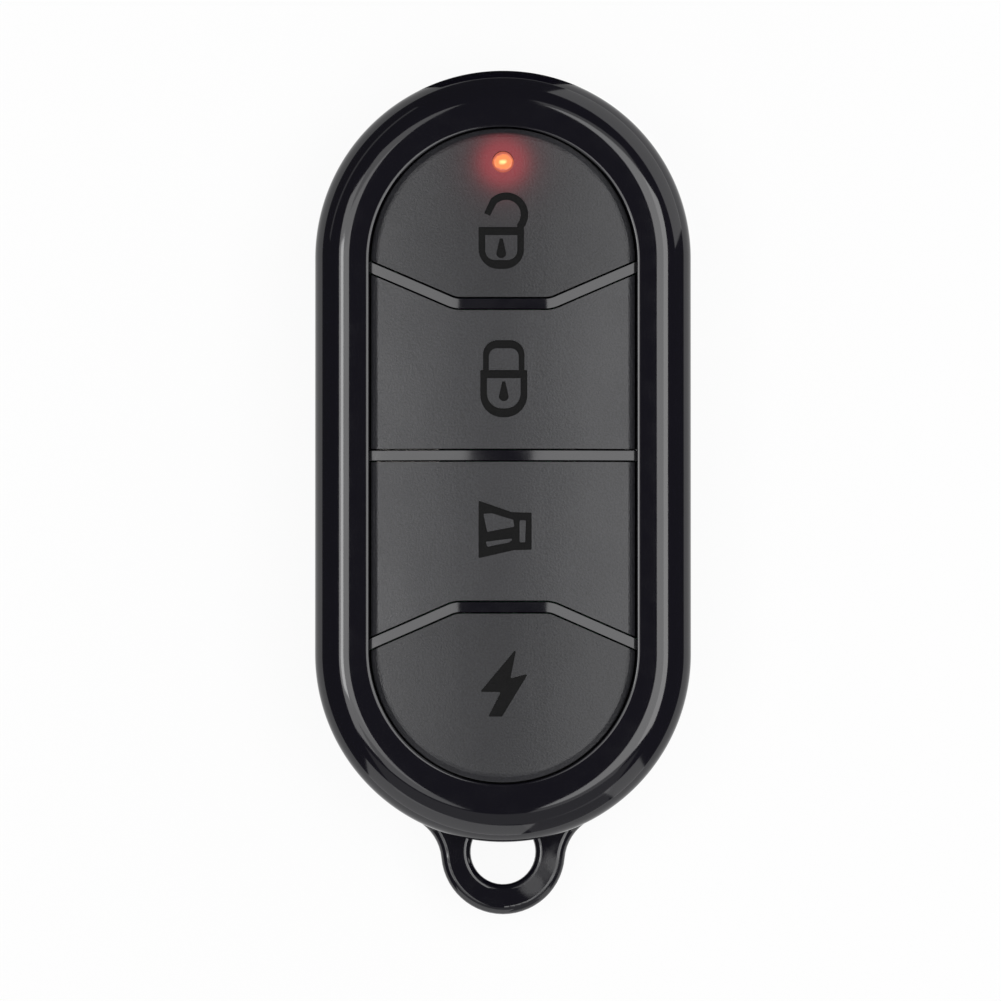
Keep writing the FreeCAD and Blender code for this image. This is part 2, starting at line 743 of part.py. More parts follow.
def padlock_body(width, height, corner_share, inner_share, bottom, top):
    """Outlined padlock body with its keyhole; its top edge is at y = 0.

    The shares are the lower corners' radii as parts of the half widths they round."""
    half = width / 2
    corner = half * corner_share
    outer = [
        (-half, 0, SYMBOL_CORNER),
        (half, 0, SYMBOL_CORNER),
        (half, -height, corner),
        (-half, -height, corner),
    ]
    inner_half = half - PADLOCK_SIDE
    inner_bottom = PADLOCK_BASE - height
    inner_corner = inner_half * inner_share
    inner = [
        (-inner_half, -PADLOCK_BAR, 0),
        (inner_half, -PADLOCK_BAR, 0),
        (inner_half, inner_bottom, inner_corner),
        (-inner_half, inner_bottom, inner_corner),
    ]
    frame = prism(outer, bottom, top).cut(prism(inner, bottom - PAST, top + PAST))
    return [frame, keyhole(bottom, top).translated(vec(0, -KEYHOLE_FROM_TOP, 0))]


def open_shackle(bottom, top):
    """Ring about the origin with a straight, slanted limb at its open left end and a foot at its right."""
    outer_radius = OPEN_SHACKLE_RADIUS + OPEN_SHACKLE_STROKE / 2
    inner_radius = OPEN_SHACKLE_RADIUS - OPEN_SHACKLE_STROKE / 2
    reach = 2 * OPEN_SHACKLE_RADIUS
    foot_bottom = -OPEN_SHACKLE_RISE - PADLOCK_BAR / 2
    gap = [
        (0, 0, 0),
        (-reach, reach, 0),
        (-reach, -reach, 0),
        (OPEN_SHACKLE_FOOT, -reach, 0),
        (OPEN_SHACKLE_FOOT, 0, 0),
    ]
    ring = cylinder(outer_radius, 0, 0, bottom, top)
    ring = ring.cut(cylinder(inner_radius, 0, 0, bottom - PAST, top + PAST))
    ring = ring.cut(prism(gap, bottom - PAST, top + PAST))
    ring = ring.cut(box(0, reach, -reach, foot_bottom, bottom - PAST, top + PAST))
    diagonal = math.sqrt(0.5)
    slant = math.radians(OPEN_SHACKLE_LIMB_SLANT)
    end_x = -outer_radius * diagonal - OPEN_SHACKLE_LIMB_LENGTH * math.sin(slant)
    end_y = outer_radius * diagonal - OPEN_SHACKLE_LIMB_LENGTH * math.cos(slant)
    inner_end_x = end_x + OPEN_SHACKLE_LIMB_WIDTH * math.cos(slant)
    inner_end_y = end_y - OPEN_SHACKLE_LIMB_WIDTH * math.sin(slant)
    limb = [
        (-outer_radius * diagonal, outer_radius * diagonal, 0),
        (end_x, end_y, 0),
        (inner_end_x, inner_end_y, 0),
        (-inner_radius * diagonal, inner_radius * diagonal, 0),
        (-OPEN_SHACKLE_RADIUS / 2, OPEN_SHACKLE_RADIUS * math.sqrt(0.75), 0),
    ]
    return joined([ring, prism(limb, bottom, top)])


def open_padlock(bottom, top):
    """Padlock whose shackle is open at its left end."""
    shackle = open_shackle(bottom, top).translated(vec(OPEN_SHACKLE_SHIFT, OPEN_SHACKLE_RISE, 0))
    frame, drop = padlock_body(
        OPEN_PADLOCK_WIDTH,
        OPEN_PADLOCK_HEIGHT,
        OPEN_PADLOCK_CORNER_SHARE,
        OPEN_PADLOCK_INNER_SHARE,
        bottom,
        top,
    )
    height_over_bar = OPEN_SHACKLE_RISE + OPEN_SHACKLE_RADIUS + OPEN_SHACKLE_STROKE / 2
    return centred_in_height([joined([frame, shackle]), drop], OPEN_PADLOCK_HEIGHT, height_over_bar)


def closed_padlock(bottom, top):
    half = SHACKLE_WIDTH / 2
    inner_half = half - SHACKLE_STROKE
    outer = [
        (-half, -PADLOCK_BAR / 2, 0),
        (half, -PADLOCK_BAR / 2, 0),
        (half, SHACKLE_RISE, SHACKLE_CORNER),
        (-half, SHACKLE_RISE, SHACKLE_CORNER),
    ]
    inner_top = SHACKLE_RISE - SHACKLE_TOP
    inner = [
        (-inner_half, -PADLOCK_BAR, 0),
        (inner_half, -PADLOCK_BAR, 0),
        (inner_half, inner_top, SHACKLE_INNER_CORNER),
        (-inner_half, inner_top, SHACKLE_INNER_CORNER),
    ]
    shackle = prism(outer, bottom, top).cut(prism(inner, bottom - PAST, top + PAST))
    frame, drop = padlock_body(
        SHUT_PADLOCK_WIDTH,
        SHUT_PADLOCK_HEIGHT,
        SHUT_PADLOCK_CORNER_SHARE,
        SHUT_PADLOCK_INNER_SHARE,
        bottom,
        top,
    )
    return centred_in_height([joined([frame, shackle]), drop], SHUT_PADLOCK_HEIGHT, SHACKLE_RISE)


def centred_in_height(solids, body_height, height_over_bar):
    """Moves a padlock so that its whole height is centred on y = 0."""
    shift = vec(0, (body_height - height_over_bar) / 2, 0)
    return [solid.translated(shift) for solid in solids]


def horn(bottom, top):
    """Flared horn with two windows and a slot."""
    shape = prism(sharp(HORN_OUTLINE), bottom, top)
    for window in (HORN_UPPER_WINDOW, HORN_LOWER_WINDOW, HORN_SLOT):
        shape = shape.cut(prism(sharp(window), bottom - PAST, top + PAST))
    return [shape]


def lightning(bottom, top):
    return [prism(sharp(FLASH_UPPER_POINTS + FLASH_LOWER_POINTS), bottom, top)]


SYMBOLS = {
    "unlock": (open_padlock, UNLOCK_SYMBOL_AT),
    "lock": (closed_padlock, LOCK_SYMBOL_AT),
    "horn": (horn, HORN_SYMBOL_AT),
    "flash": (lightning, FLASH_SYMBOL_AT),
}


def symbol(name, bottom, top):
    """The solids of a key's symbol at its place on the key."""
    shape, (x, y) = SYMBOLS[name]
    return [solid.translated(vec(x, SWITCH_Y[name] + y, 0)) for solid in shape(bottom, top)]


def key(name, blank):
    y = SWITCH_Y[name]
    post = cylinder(KEY_POST_RADIUS, 0, y, post_bottom, pocket_top + OVERLAP)
    shape = joined([blank, post]).cut(symbol(name, recess_floor, crown_top + PAST))
    if name == "unlock":
        shape = shape.cut(cylinder(LENS_RADIUS + LENS_HOLE_GAP, 0, lens_y, flange_bottom, crown_top + PAST))
    return shape


def symbol_fill(name):
    return Part.makeCompound(symbol(name, recess_floor, crown_top - SYMBOL_SINK))


def led_lens():
    """Light pipe: a stem through the key with a wider head below its roof."""
    stem = cylinder(LENS_RADIUS, 0, lens_y, pocket_top - LENS_HEAD_HEIGHT, crown_top - LENS_SINK)
    rim = [edge for edge in stem.Edges if edge.CenterOfMass.z > crown_top - LENS_SINK - TOLERANCE]
    stem = stem.makeFillet(LENS_TOP_ROUND, rim)
    head = cylinder(LENS_HEAD_RADIUS, 0, lens_y, pocket_top - LENS_HEAD_HEIGHT, pocket_top)
    return joined([stem, head])


def case_screw(x, y):
    """Pan-head screw, driven from the back, with a cross recess and a blunt point."""
    point_bottom = screw_tip - SCREW_POINT
    head = cylinder(SCREW_HEAD_RADIUS, x, y, SCREW_HEAD_SINK, head_seat)
    shank = cylinder(SCREW_SHANK_RADIUS, x, y, head_seat - OVERLAP, point_bottom)
    point = Part.makeCone(SCREW_SHANK_RADIUS, SCREW_SHANK_RADIUS / 2, SCREW_POINT, vec(x, y, point_bottom))
    half_span = RECESS_SPAN / 2
    half_width = RECESS_WIDTH / 2
    recess_top = SCREW_HEAD_SINK + RECESS_DEPTH
    along_x = box(x - half_span, x + half_span, y - half_width, y + half_width, 0, recess_top)
    along_y = box(x - half_width, x + half_width, y - half_span, y + half_span, 0, recess_top)
    return joined([head, shank, point]).cut([along_x, along_y])


def case_screws():
    return Part.makeCompound([case_screw(x, y) for x, y, _ in screw_places()])


def circuit_board():
    board = stadium(board_radius, board_bottom, board_top)
    notch_radius = boss_radius + BOARD_NOTCH_GAP
    for place in screw_places():
        mouth = radial_bar(place, interior_radius, 2 * notch_radius, board_bottom - PAST, board_top + PAST)
        eye = cylinder(notch_radius, place[0], place[1], board_bottom - PAST, board_top + PAST)
        board = board.cut([mouth, eye])
    return board


def coin_cell():
    can_top = cell_top - CELL_CAP_HEIGHT
    can = cylinder(CELL_RADIUS, 0, CELL_CENTRE_Y, cell_bottom, can_top)
    can = can.makeFillet(CELL_EDGE_ROUND, [edge for edge in can.Edges if is_circle_of(edge, CELL_RADIUS)])
    cap = cylinder(CELL_RADIUS - CELL_CAP_STEP, 0, CELL_CENTRE_Y, can_top - OVERLAP, cell_top)
    return joined([can, cap])


def battery_clip():
    """Spring strip under the cell, bent up on both sides, with feet soldered under the board."""
    inner = CELL_RADIUS + CLIP_CELL_GAP
    outer = inner + CLIP_THICKNESS
    low = CELL_CENTRE_Y - CLIP_WIDTH / 2
    high = CELL_CENTRE_Y + CLIP_WIDTH / 2
    foot_bottom = board_bottom - CLIP_THICKNESS
    lumps = [box(-outer, outer, low, high, clip_bottom, cell_bottom)]
    for side in (1, -1):
        legs = sorted((side * inner, side * outer))
        feet = sorted((side * inner, side * (board_radius - CLIP_FOOT_INSET)))
        lumps.append(box(legs[0], legs[1], low, high, clip_bottom, board_bottom))
        lumps.append(box(feet[0], feet[1], low, high, foot_bottom, board_bottom))
    return joined(lumps)


def negative_contact():
    return cylinder(NEGATIVE_CONTACT_RADIUS, 0, CELL_CENTRE_Y, cell_top, board_bottom)


def gull_wing(side_x, direction, y, width, size):
    """Bent lead from a package's side at side_x down to its foot on the board.

    Its size is how far out it reaches, how far out it bends down, and its height.
    """
    reach, shoulder, height = size
    profile = [
        (0, height),
        (shoulder, height),
        (shoulder, LEAD_THICKNESS),
        (reach, LEAD_THICKNESS),
        (reach, 0),
        (shoulder - LEAD_THICKNESS, 0),
        (shoulder - LEAD_THICKNESS, height - LEAD_THICKNESS),
        (0, height - LEAD_THICKNESS),
    ]
    low = y - width / 2
    points = [vec(side_x + direction * out, low, board_top + up) for out, up in profile]
    face = Part.Face(Part.makePolygon(points + points[:1]))
    return face.extrude(vec(0, width, 0))


def switch_base(y):
    base = block((0, y), (SWITCH_WIDTH, SWITCH_WIDTH, SWITCH_BASE_HEIGHT), board_top)
    well_floor = board_top + SWITCH_WELL_FLOOR
    return base.cut(cylinder(SWITCH_WELL_RADIUS, 0, y, well_floor, switch_base_top + PAST))


def switch_leads(y):
    leads = []
    for direction in (1, -1):
        for lead_y in (y - SWITCH_LEAD_SPACING / 2, y + SWITCH_LEAD_SPACING / 2):
            side_x = direction * SWITCH_WIDTH / 2
            leads.append(gull_wing(side_x, direction, lead_y, SWITCH_LEAD_WIDTH, SWITCH_LEAD_SIZE))
    return Part.makeCompound(leads)


def spherical_cap(radius_at_foot, height, y, foot):
    """Solid cap of a ball that stands on its flat foot."""
    ball_radius = (radius_at_foot ** 2 + height ** 2) / (2 * height)
    centre = vec(0, y, foot + height - ball_radius)
    over_foot = cylinder(radius_at_foot + PAST, 0, y, foot, foot + height + PAST)
    return Part.makeSphere(ball_radius, centre).common(over_foot)


def switch_dome(y):
    """Thin snap dome in the bottom of the well."""
    foot = board_top + SWITCH_WELL_FLOOR
    radius = SWITCH_WELL_RADIUS - DOME_SIDE_GAP
    outer = spherical_cap(radius, DOME_HEIGHT, y, foot)
    inner = spherical_cap(radius - DOME_THICKNESS, DOME_HEIGHT - DOME_THICKNESS, y, foot)
    return outer.cut(inner)


def switch_cover(y):
    size = (SWITCH_WIDTH, SWITCH_WIDTH, SWITCH_COVER_THICKNESS)
    hole_radius = PLUNGER_RADIUS + PLUNGER_SIDE_GAP
    plate = block((0, y), size, switch_base_top)
    return plate.cut(cylinder(hole_radius, 0, y, switch_base_top - PAST, switch_cover_top + PAST))


def switch_plunger(y):
    """Round plunger with a collar that the cover plate keeps in."""
    bottom = board_top + SWITCH_WELL_FLOOR + DOME_HEIGHT + DOME_PLUNGER_GAP
    collar_top = switch_base_top - PLUNGER_COLLAR_GAP
    rod = cylinder(PLUNGER_RADIUS, 0, y, bottom, plunger_top)
    collar = cylinder(PLUNGER_RADIUS + PLUNGER_COLLAR_REACH, 0, y, bottom, collar_top)
    return joined([rod, collar])


def status_led():
    return block((0, lens_y), LED_SIZE, board_top)


def encoder_chip():
    return block(on_right(CHIP_PLACE), CHIP_SIZE, board_top + CHIP_LIFT)


def encoder_chip_pins():
    x, y = on_right(CHIP_PLACE)
    pins = []
    for index in range(CHIP_PINS_PER_SIDE):
        pin_y = y + (index - (CHIP_PINS_PER_SIDE - 1) / 2) * CHIP_PIN_PITCH
        for direction in (1, -1):
            side_x = x + direction * CHIP_SIZE[0] / 2
            pins.append(gull_wing(side_x, direction, pin_y, CHIP_PIN_WIDTH, CHIP_LEAD_SIZE))
    return Part.makeCompound(pins)


def rf_transistor():
    return block(on_left(TRANSISTOR_PLACE), TRANSISTOR_SIZE, board_top + CHIP_LIFT)


def rf_transistor_pins():
    x, y = on_left(TRANSISTOR_PLACE)
    half_spread = TRANSISTOR_PIN_SPREAD / 2
    half_body = TRANSISTOR_SIZE[0] / 2
    places = ((1, y - half_spread), (1, y + half_spread), (-1, y))
    pins = []
    for direction, pin_y in places:
        side_x = x + direction * half_body
        pins.append(gull_wing(side_x, direction, pin_y, TRANSISTOR_PIN_WIDTH, CHIP_LEAD_SIZE))
    return Part.makeCompound(pins)


def saw_resonator():
    return rounded_box(on_left(RESONATOR_PLACE), RESONATOR_SIZE, RESONATOR_CORNER, board_top)


def rf_inductor():
    return rounded_box(on_left(INDUCTOR_PLACE), INDUCTOR_SIZE, INDUCTOR_CORNER, board_top)


def chip_resistors():
    chips = [block(on_right(place), RESISTOR_SIZE, board_top) for place in RESISTOR_PLACES]
    return Part.makeCompound(chips)


def chip_capacitors():
    places = [on_right(place) for place in RIGHT_CAPACITOR_PLACES]
    places += [on_left(place) for place in LEFT_CAPACITOR_PLACES]
    chips = [block(place, CAPACITOR_SIZE, board_top) for place in places]
    return Part.makeCompound(chips)


def antenna_trace():
    """Copper strip along one side of the board, hooked inwards at both ends."""
    outer = -(board_radius - TRACE_EDGE_GAP)
    inner = outer + TRACE_WIDTH
    half = TRACE_LENGTH / 2
    top = board_top + TRACE_THICKNESS
    return joined([
        box(outer, inner, -half, half, board_top, top),
        box(outer, inner + TRACE_HOOK, half - TRACE_WIDTH, half, board_top, top),
        box(outer, inner + TRACE_HOOK, -half, TRACE_WIDTH - half, board_top, top),
    ])


def nodes():
    """Every sub-part by name."""
    parts = {"front_shell": front_shell(), "rear_cover": rear_cover()}
    for name, blank in zip(SWITCH_Y, key_blanks()):
        parts[name + "_key"] = key(name, blank)
        parts[name + "_symbol"] = symbol_fill(name)
    for name, y in SWITCH_Y.items():
        parts[name + "_switch_base"] = switch_base(y)
        parts[name + "_switch_leads"] = switch_leads(y)
        parts[name + "_switch_dome"] = switch_dome(y)
        parts[name + "_switch_cover"] = switch_cover(y)
        parts[name + "_switch_plunger"] = switch_plunger(y)
    parts["led_lens"] = led_lens()
    parts["circuit_board"] = circuit_board()
    parts["coin_cell"] = coin_cell()
    parts["battery_clip"] = battery_clip()
    parts["battery_negative_contact"] = negative_contact()
    parts["status_led"] = status_led()
    parts["encoder_chip"] = encoder_chip()
    parts["encoder_chip_pins"] = encoder_chip_pins()
    parts["rf_transistor"] = rf_transistor()
    parts["rf_transistor_pins"] = rf_transistor_pins()
    parts["saw_resonator"] = saw_resonator()
    parts["rf_inductor"] = rf_inductor()
    parts["chip_resistors"] = chip_resistors()
    parts["chip_capacitors"] = chip_capacitors()
    parts["antenna_trace"] = antenna_trace()
    parts["case_screws"] = case_screws()
    return parts


def main():
    os.makedirs("parts", exist_ok=True)
    for name, shape in nodes().items():
        shape.exportStep("parts/" + name + ".step")
        print(name, len(shape.Solids), round(shape.Volume, 3), shape.isValid())


main()
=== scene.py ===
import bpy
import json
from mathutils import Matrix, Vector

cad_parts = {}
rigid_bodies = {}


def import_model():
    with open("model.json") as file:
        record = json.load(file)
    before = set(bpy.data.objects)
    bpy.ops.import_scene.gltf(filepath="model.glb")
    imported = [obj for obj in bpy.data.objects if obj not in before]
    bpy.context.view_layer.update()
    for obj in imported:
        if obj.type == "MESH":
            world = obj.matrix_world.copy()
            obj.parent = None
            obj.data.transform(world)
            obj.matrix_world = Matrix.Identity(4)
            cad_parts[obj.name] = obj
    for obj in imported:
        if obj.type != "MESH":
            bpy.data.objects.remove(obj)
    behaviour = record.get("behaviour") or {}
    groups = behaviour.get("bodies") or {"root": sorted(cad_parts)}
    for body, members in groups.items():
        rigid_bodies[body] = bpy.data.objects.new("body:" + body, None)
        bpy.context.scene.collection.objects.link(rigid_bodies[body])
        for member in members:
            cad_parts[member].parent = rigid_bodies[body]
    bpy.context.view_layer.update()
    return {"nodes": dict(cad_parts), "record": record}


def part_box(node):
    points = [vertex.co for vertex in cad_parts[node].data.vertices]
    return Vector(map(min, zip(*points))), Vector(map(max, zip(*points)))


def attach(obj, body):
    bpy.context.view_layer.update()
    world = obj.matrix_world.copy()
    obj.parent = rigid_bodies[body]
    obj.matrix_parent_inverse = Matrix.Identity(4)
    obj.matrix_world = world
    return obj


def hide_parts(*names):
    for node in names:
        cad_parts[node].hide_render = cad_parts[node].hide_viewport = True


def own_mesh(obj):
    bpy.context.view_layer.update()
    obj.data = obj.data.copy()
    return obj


bl_info = {
    "name": "Four-key key-ring remote",
    "version": (1, 0, 0),
    "blender": (4, 5, 0),
    "location": "3D View > Sidebar > Remote",
    "description": "Dresses a four-key radio remote and lights it for a picture from above its keys",
    "category": "Object",
}

import json
import math

import bmesh
import bpy
from mathutils import Matrix, Vector

for leftover in list(bpy.data.objects):
    bpy.data.objects.remove(leftover)
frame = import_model()

MM = 0.001

# Levels and radii of the front half of the case, in millimetres, as in the part's source
SEAM_LEVEL = 6.225
SEAM_BEVEL = 0.12
REBATE_RADIUS = 14.35
REBATE_LEVEL = 7.1
INTERIOR_RADIUS = 13.6
CEILING_LEVEL = 10.4
BAND_LEVEL = 11.70
BAND_EDGE_WIDTH = 0.28
BAND_EDGE_DROP = 0.08
SHOULDER_HANDLES = (0.52, 0.47)
SHOULDER_STEPS = 40
EDGE_STEPS = 10
# Handles of a curve that comes closest to a quarter of a circle
QUARTER_HANDLES = (0.5523, 0.5523)
# Angle between two faces from which their edge stays sharp
SHARP_DEGREES = 35

# Bars between the keys
BAR_WIDTH = 0.84
BAR_PITCH = 12.1
BAR_FLAT = 7.68
BAR_SLOPE = 23.5
BAR_BEND = 2.2
BAR_BEND_STEPS = 10
BAR_RUN_STEPS = 28
BAR_REACH = 10.53
BAR_EDGE_ROUND = 0.05
BAR_EDGE_SUPPORT = 0.015
BAR_EDGE_STEPS = 4
BAR_FOOT_LEVEL = 10.2
BAR_ROOT_REACH = 11.08
BAR_ROOT_WIDTH = 0.8
BAR_ROOT_FOOT_LEVEL = 10.25
BAR_ROOT_LEVEL = 10.68
CROWN_LEVEL = 12.0
CROWN_RADIUS = 59.89
CROWN_SINK = 0.12
# The bent bars are flat up to the first distance from the middle, and follow the crown from the second on
CROWN_FLAT = (2.9, 3.9)
CROWN_SUM_STEPS = 40

# Bosses, webs and ribs inside the front half
BOSS_RADIUS = 1.88
BOSS_BOTTOM = 4.3
BOSS_TOP = 8.8
PILOT_RADIUS = 0.87
PILOT_TOP = 8.2
BOSS_STEPS = 40
WEB_LENGTH = 3.7
WEB_WIDTH = 3.0
WEB_BOTTOM = 7.3
RIB_OUTER = 13.4
RIB_INNER = 12.0
RIB_WIDTH = 1.2
RIB_BOTTOM = 6.2
RIB_PLACES = (7.0, -7.0)
RIB_SINK = 0.2

# Case screws
SCREW_RADIAL = 10.6
SCREW_TURN = 40.0
SCREW_HEAD_RADIUS = 1.45
SCREW_HEAD_BOTTOM = 0.8
SCREW_HEAD_TOP = 1.9
SCREW_HEAD_ROUND = 0.35
SCREW_ROUND_STEPS = 6
SCREW_SHANK_RADIUS = 0.85
SCREW_TIP = 7.9
SCREW_POINT = 0.7
SCREW_STEPS = 48
RECESS_SPAN = 0.95
RECESS_HALF_WIDTH = 0.22
RECESS_DEPTH = 0.6
SCREW_SEED = 4

# Snap domes: sheet thickness, and the rings and steps of their mesh
DOME_THICKNESS = 0.1
DOME_RINGS = 12
DOME_STEPS = 64

# Lit lens: distance from its middle at which the colours end, and where along it they stand
LENS_REACH = 0.85
LENS_STOPS = (0.12, 0.42, 0.74, 1.0)
LENS_SQUEEZE = 1.28
LENS_BASE_COLOUR = (0.2, 0.04, 0.02)
LENS_ROUGHNESS = 0.25

# Keys: the depths below the crown between which painted shade darkens their sides, the painted shade's colour
# and the sides' roughness, the depths between which the lamp's light ends, how steeply it falls off, and how
# much the face mirrors
SIDE_SHADE_DEPTHS = (0.15, 0.25)
SIDE_ROUGHNESS = 0.9
SIDE_PAINTED_SHADE_COLOUR = (0.001, 0.001, 0.001)
GLOW_DEPTHS = (0.01, 0.07)
GLOW_FALL = 5
KEY_SPECULAR = 0.45
SYMBOL_SPECULAR = 0.12

# How much duller the bars between the keys are, and the level above which that applies
BAR_DULLNESS = 0.03
BAR_DULL_LEVEL = 11.0
BAR_DULL_MARGIN = 0.08

# Place on the key-ring loop that the ring has rubbed dull, and how far that reaches
RUB_PLACE = (3.3, -33.3, 4.65)
RUB_INNER = 1.4
RUB_OUTER = 3.1
RUB_ROUGHNESS = 0.24

# Noise of the materials, as its size, its detail, and its lowest and highest value
GLOSS_HAZE = (1.6 * MM, 3, 0.05, 0.085)
GLOSS_WAVES = (4.5 * MM, 1, 0, 1)
RUB_EDGE = (2.2 * MM, 1, -0.6 * MM, 0.6 * MM)
KEY_SHEEN = (5 * MM, 2, 0.28, 0.32)
SYMBOL_GRAIN = (0.12 * MM, 2, 0.42, 0.6)
LENS_MOTTLE = (0.35 * MM, 1, -0.07, 0.07)
METAL_TINT = (3 * MM, 2, 0, 1)
MOULDED_TINT = (1.2 * MM, 3, 0, 1)
MASK_HAZE = (1 * MM, 2, 0.25, 0.4)
METAL_SIZE = 0.15 * MM
METAL_STRETCH = 10
METAL_DETAIL = 3.0
MOULDED_SIZE = 0.12 * MM
# What the noise is cut off at before it is spread between its lowest and highest value
GRAIN_LIMITS = (0.32, 0.68)
METAL_LIMITS = (0.3, 0.7)
# Brightness of the darker tone of a metal and of a moulding
METAL_SHADE = 0.86
MOULDED_SHADE = 0.8

# Depths of the materials' bumps
GLOSS_BUMP = 0.006 * MM
KEY_BUMP = 0.015 * MM
SYMBOL_BUMP = 0.008 * MM
METAL_BUMP = 0.002 * MM
MOULDED_BUMP = 0.006 * MM
TRACK_BUMP = 0.01 * MM

# Circuit board: cells to a metre, distances from a cell's edge between which a track ends, and colours
TRACK_SCALE = 420.0
TRACK_EDGE = (0.05, 0.09)
MASK_COLOUR = (0.006, 0.085, 0.03)
TRACK_COLOUR = (0.02, 0.17, 0.06)

KEY_NAMES = ("unlock", "lock", "horn", "flash")
SLOTS = {subpart["node"]: subpart["material_slot"] for subpart in frame["record"]["subparts"]}

# Layout of the node trees
NODE_WIDTH = 180
NODE_HEIGHT = 160
NODE_ROWS = 4
# Types of a node group's sockets, by its outputs' kind of tree and by the type of its inputs' defaults
OUTPUT_TYPES = {"ShaderNodeTree": "Float", "GeometryNodeTree": "Geometry"}
INPUT_TYPES = {float: "Float", int: "Int"}


def length_setting(name, description, millimetres):
    return bpy.props.FloatProperty(
        name=name, description=description, unit="LENGTH", default=millimetres * MM,
    )


def colour_setting(name, description, colour):
    return bpy.props.FloatVectorProperty(
        name=name, description=description, subtype="COLOR", size=3, min=0, max=1, default=colour,
    )


class RemoteCaseSettings(bpy.types.PropertyGroup):
    gloss_colour: colour_setting(
        "Gloss plastic", "Colour of the polished case and of the bars between the keys",
        (0.0032, 0.0027, 0.0062),
    )
    gloss_index: bpy.props.FloatProperty(
        name="Refractive index", description="Refractive index of the polished plastic",
        min=1.3, max=2.0, default=1.56,
    )
    outer_radius: length_setting("Outer radius", "Radius of the case's round ends", 15.0)
    straight: length_setting("Straight length", "Distance between the centres of the two round ends", 31.6)
    opening_radius: length_setting(
        "Opening radius", "Radius of the round ends of the opening for the keys", 10.68,
    )
    opening_shortening: length_setting(
        "Opening shortening", "How much shorter the opening's straight sides are than the case's", 0.56,
    )
    shoulder_width: length_setting(
        "Shoulder width", "Width of the rounded outer shoulder of the rim, seen from above", 2.8,
    )
    shoulder_drop: length_setting(
        "Shoulder drop", "How far the shoulder falls from the flat band to the side wall", 2.1,
    )
    end_steps: bpy.props.IntProperty(
        name="Steps round an end", description="How many steps each round end of the rim is divided in",
        min=12, max=256, default=128,
    )


class RemoteKeySettings(bpy.types.PropertyGroup):
    colour: colour_setting("Key plastic", "Colour of the matt keys", (0.02, 0.02, 0.0245))
    speck_colour: colour_setting("Dark specks", "Colour of the keys' fine dark grain", (0.01, 0.01, 0.0125))
    # The end keys are painted darker than the middle ones: painted shade, a darker copy of the key material
    end_keys_painted_shade: bpy.props.FloatProperty(
        name="End keys' shade", description="Brightness of the two end keys as a share of the middle ones'",
        min=0, max=1, default=0.86,
    )
    grain_size: length_setting("Grain size", "Size of the spark-eroded grain", 0.16)
    symbol_colour: colour_setting("Symbols", "Colour of the sunk symbols", (0.002, 0.002, 0.0022))


class RemoteLampSettings(bpy.types.PropertyGroup):
    core_colour: colour_setting("Lamp's middle", "Colour of the middle of the lit lens", (1.0, 0.88, 0.32))
    body_colour: colour_setting("Lamp's body", "Colour of the lit lens halfway out", (0.93, 0.25, 0.06))
    edge_colour: colour_setting("Lamp's edge", "Colour of the edge of the lit lens", (0.42, 0.1, 0.07))
    glow_colour: colour_setting(
        "Glow", "Colour of the light that the lamp casts on its key", (0.247, 0.0116, 0.019),
    )
    glow_radius: length_setting(
        "Glow radius", "Distance from the lamp's middle at which its light on the key has halved", 2.0,
    )


class RemoteStageSettings(bpy.types.PropertyGroup):
    lens: bpy.props.FloatProperty(
        name="Focal length", description="Focal length of the camera in millimetres",
        min=20, max=1000, default=500,
    )
    frame_width: length_setting("Picture width", "Width of the picture at the level of the keys", 80.08)
    frame_level: length_setting(
        "Picture level", "Height above the table at which the picture's width is measured", 7.0,
    )
    aim: bpy.props.FloatVectorProperty(
        name="Middle of the picture", description="The point that the camera looks straight down on",
        subtype="TRANSLATION", size=2, unit="LENGTH", default=(-0.20 * MM, -3.47 * MM),
    )
    lean: bpy.props.FloatVectorProperty(
        name="Lean of the view",
        description="How far the camera stands to the right and to the far side of straight above, as angles",
        subtype="EULER", size=2, unit="ROTATION", default=(0, math.radians(-1.6)),
    )
    light_height: length_setting(
        "Height of the lights", "Height of the plane that the overhead light boxes lie in", 600.0,
    )


# Building meshes


def show(name, mesh):
    """New object in the scene that holds a finished mesh."""
    piece = bpy.data.objects.new(name, mesh)
    bpy.context.scene.collection.objects.link(piece)
    return piece


def applied(host, modifier):
    """The mesh that an object has with its modifier, which is taken off."""
    graph = bpy.context.evaluated_depsgraph_get()
    graph.update()
    mesh = bpy.data.meshes.new_from_object(host.evaluated_get(graph), depsgraph=graph)
    host.modifiers.remove(modifier)
    return mesh


def bake_tree(name, tree, values):
    """The mesh that a Geometry Nodes tree makes from named input values."""
    host = show(name + "_host", bpy.data.meshes.new(name + "_host"))
    modifier = host.modifiers.new("Build", "NODES")
    modifier.node_group = tree
    for item in tree.interface.items_tree:
        if item.in_out == "INPUT" and item.name in values:
            modifier[item.identifier] = values[item.name]
    mesh = applied(host, modifier)
    mesh.name = name
    bpy.data.objects.remove(host)
    return mesh


def joined_mesh(name, meshes, material):
    """One mesh from several closed ones, outside faces out and smooth up to an angle."""
    build = bmesh.new()
    for mesh in meshes:
        build.from_mesh(mesh)
        bpy.data.meshes.remove(mesh)
    for face in build.faces:
        face.smooth = True
        face.material_index = 0
    bmesh.ops.recalc_face_normals(build, faces=build.faces)
    mesh = mesh_of(build, name)
    mesh.set_sharp_from_angle(angle=math.radians(SHARP_DEGREES))
    mesh.materials.clear()
    mesh.materials.append(material)
    return mesh


def mesh_of(build, name):
    mesh = bpy.data.meshes.new(name)
    build.to_mesh(mesh)
    build.free()
    return mesh


def skin_rings(build, rings):
    """Faces between neighbouring rings of points, and over both ends of the row of rings."""
    rows = [[build.verts.new(point) for point in ring] for ring in rings]
    count = len(rows[0])
    for first, second in zip(rows, rows[1:]):
        for index in range(count):
            after = (index + 1) % count
            build.faces.new((first[index], first[after], second[after], second[index]))
    build.faces.new(rows[0])
    build.faces.new(rows[-1][::-1])


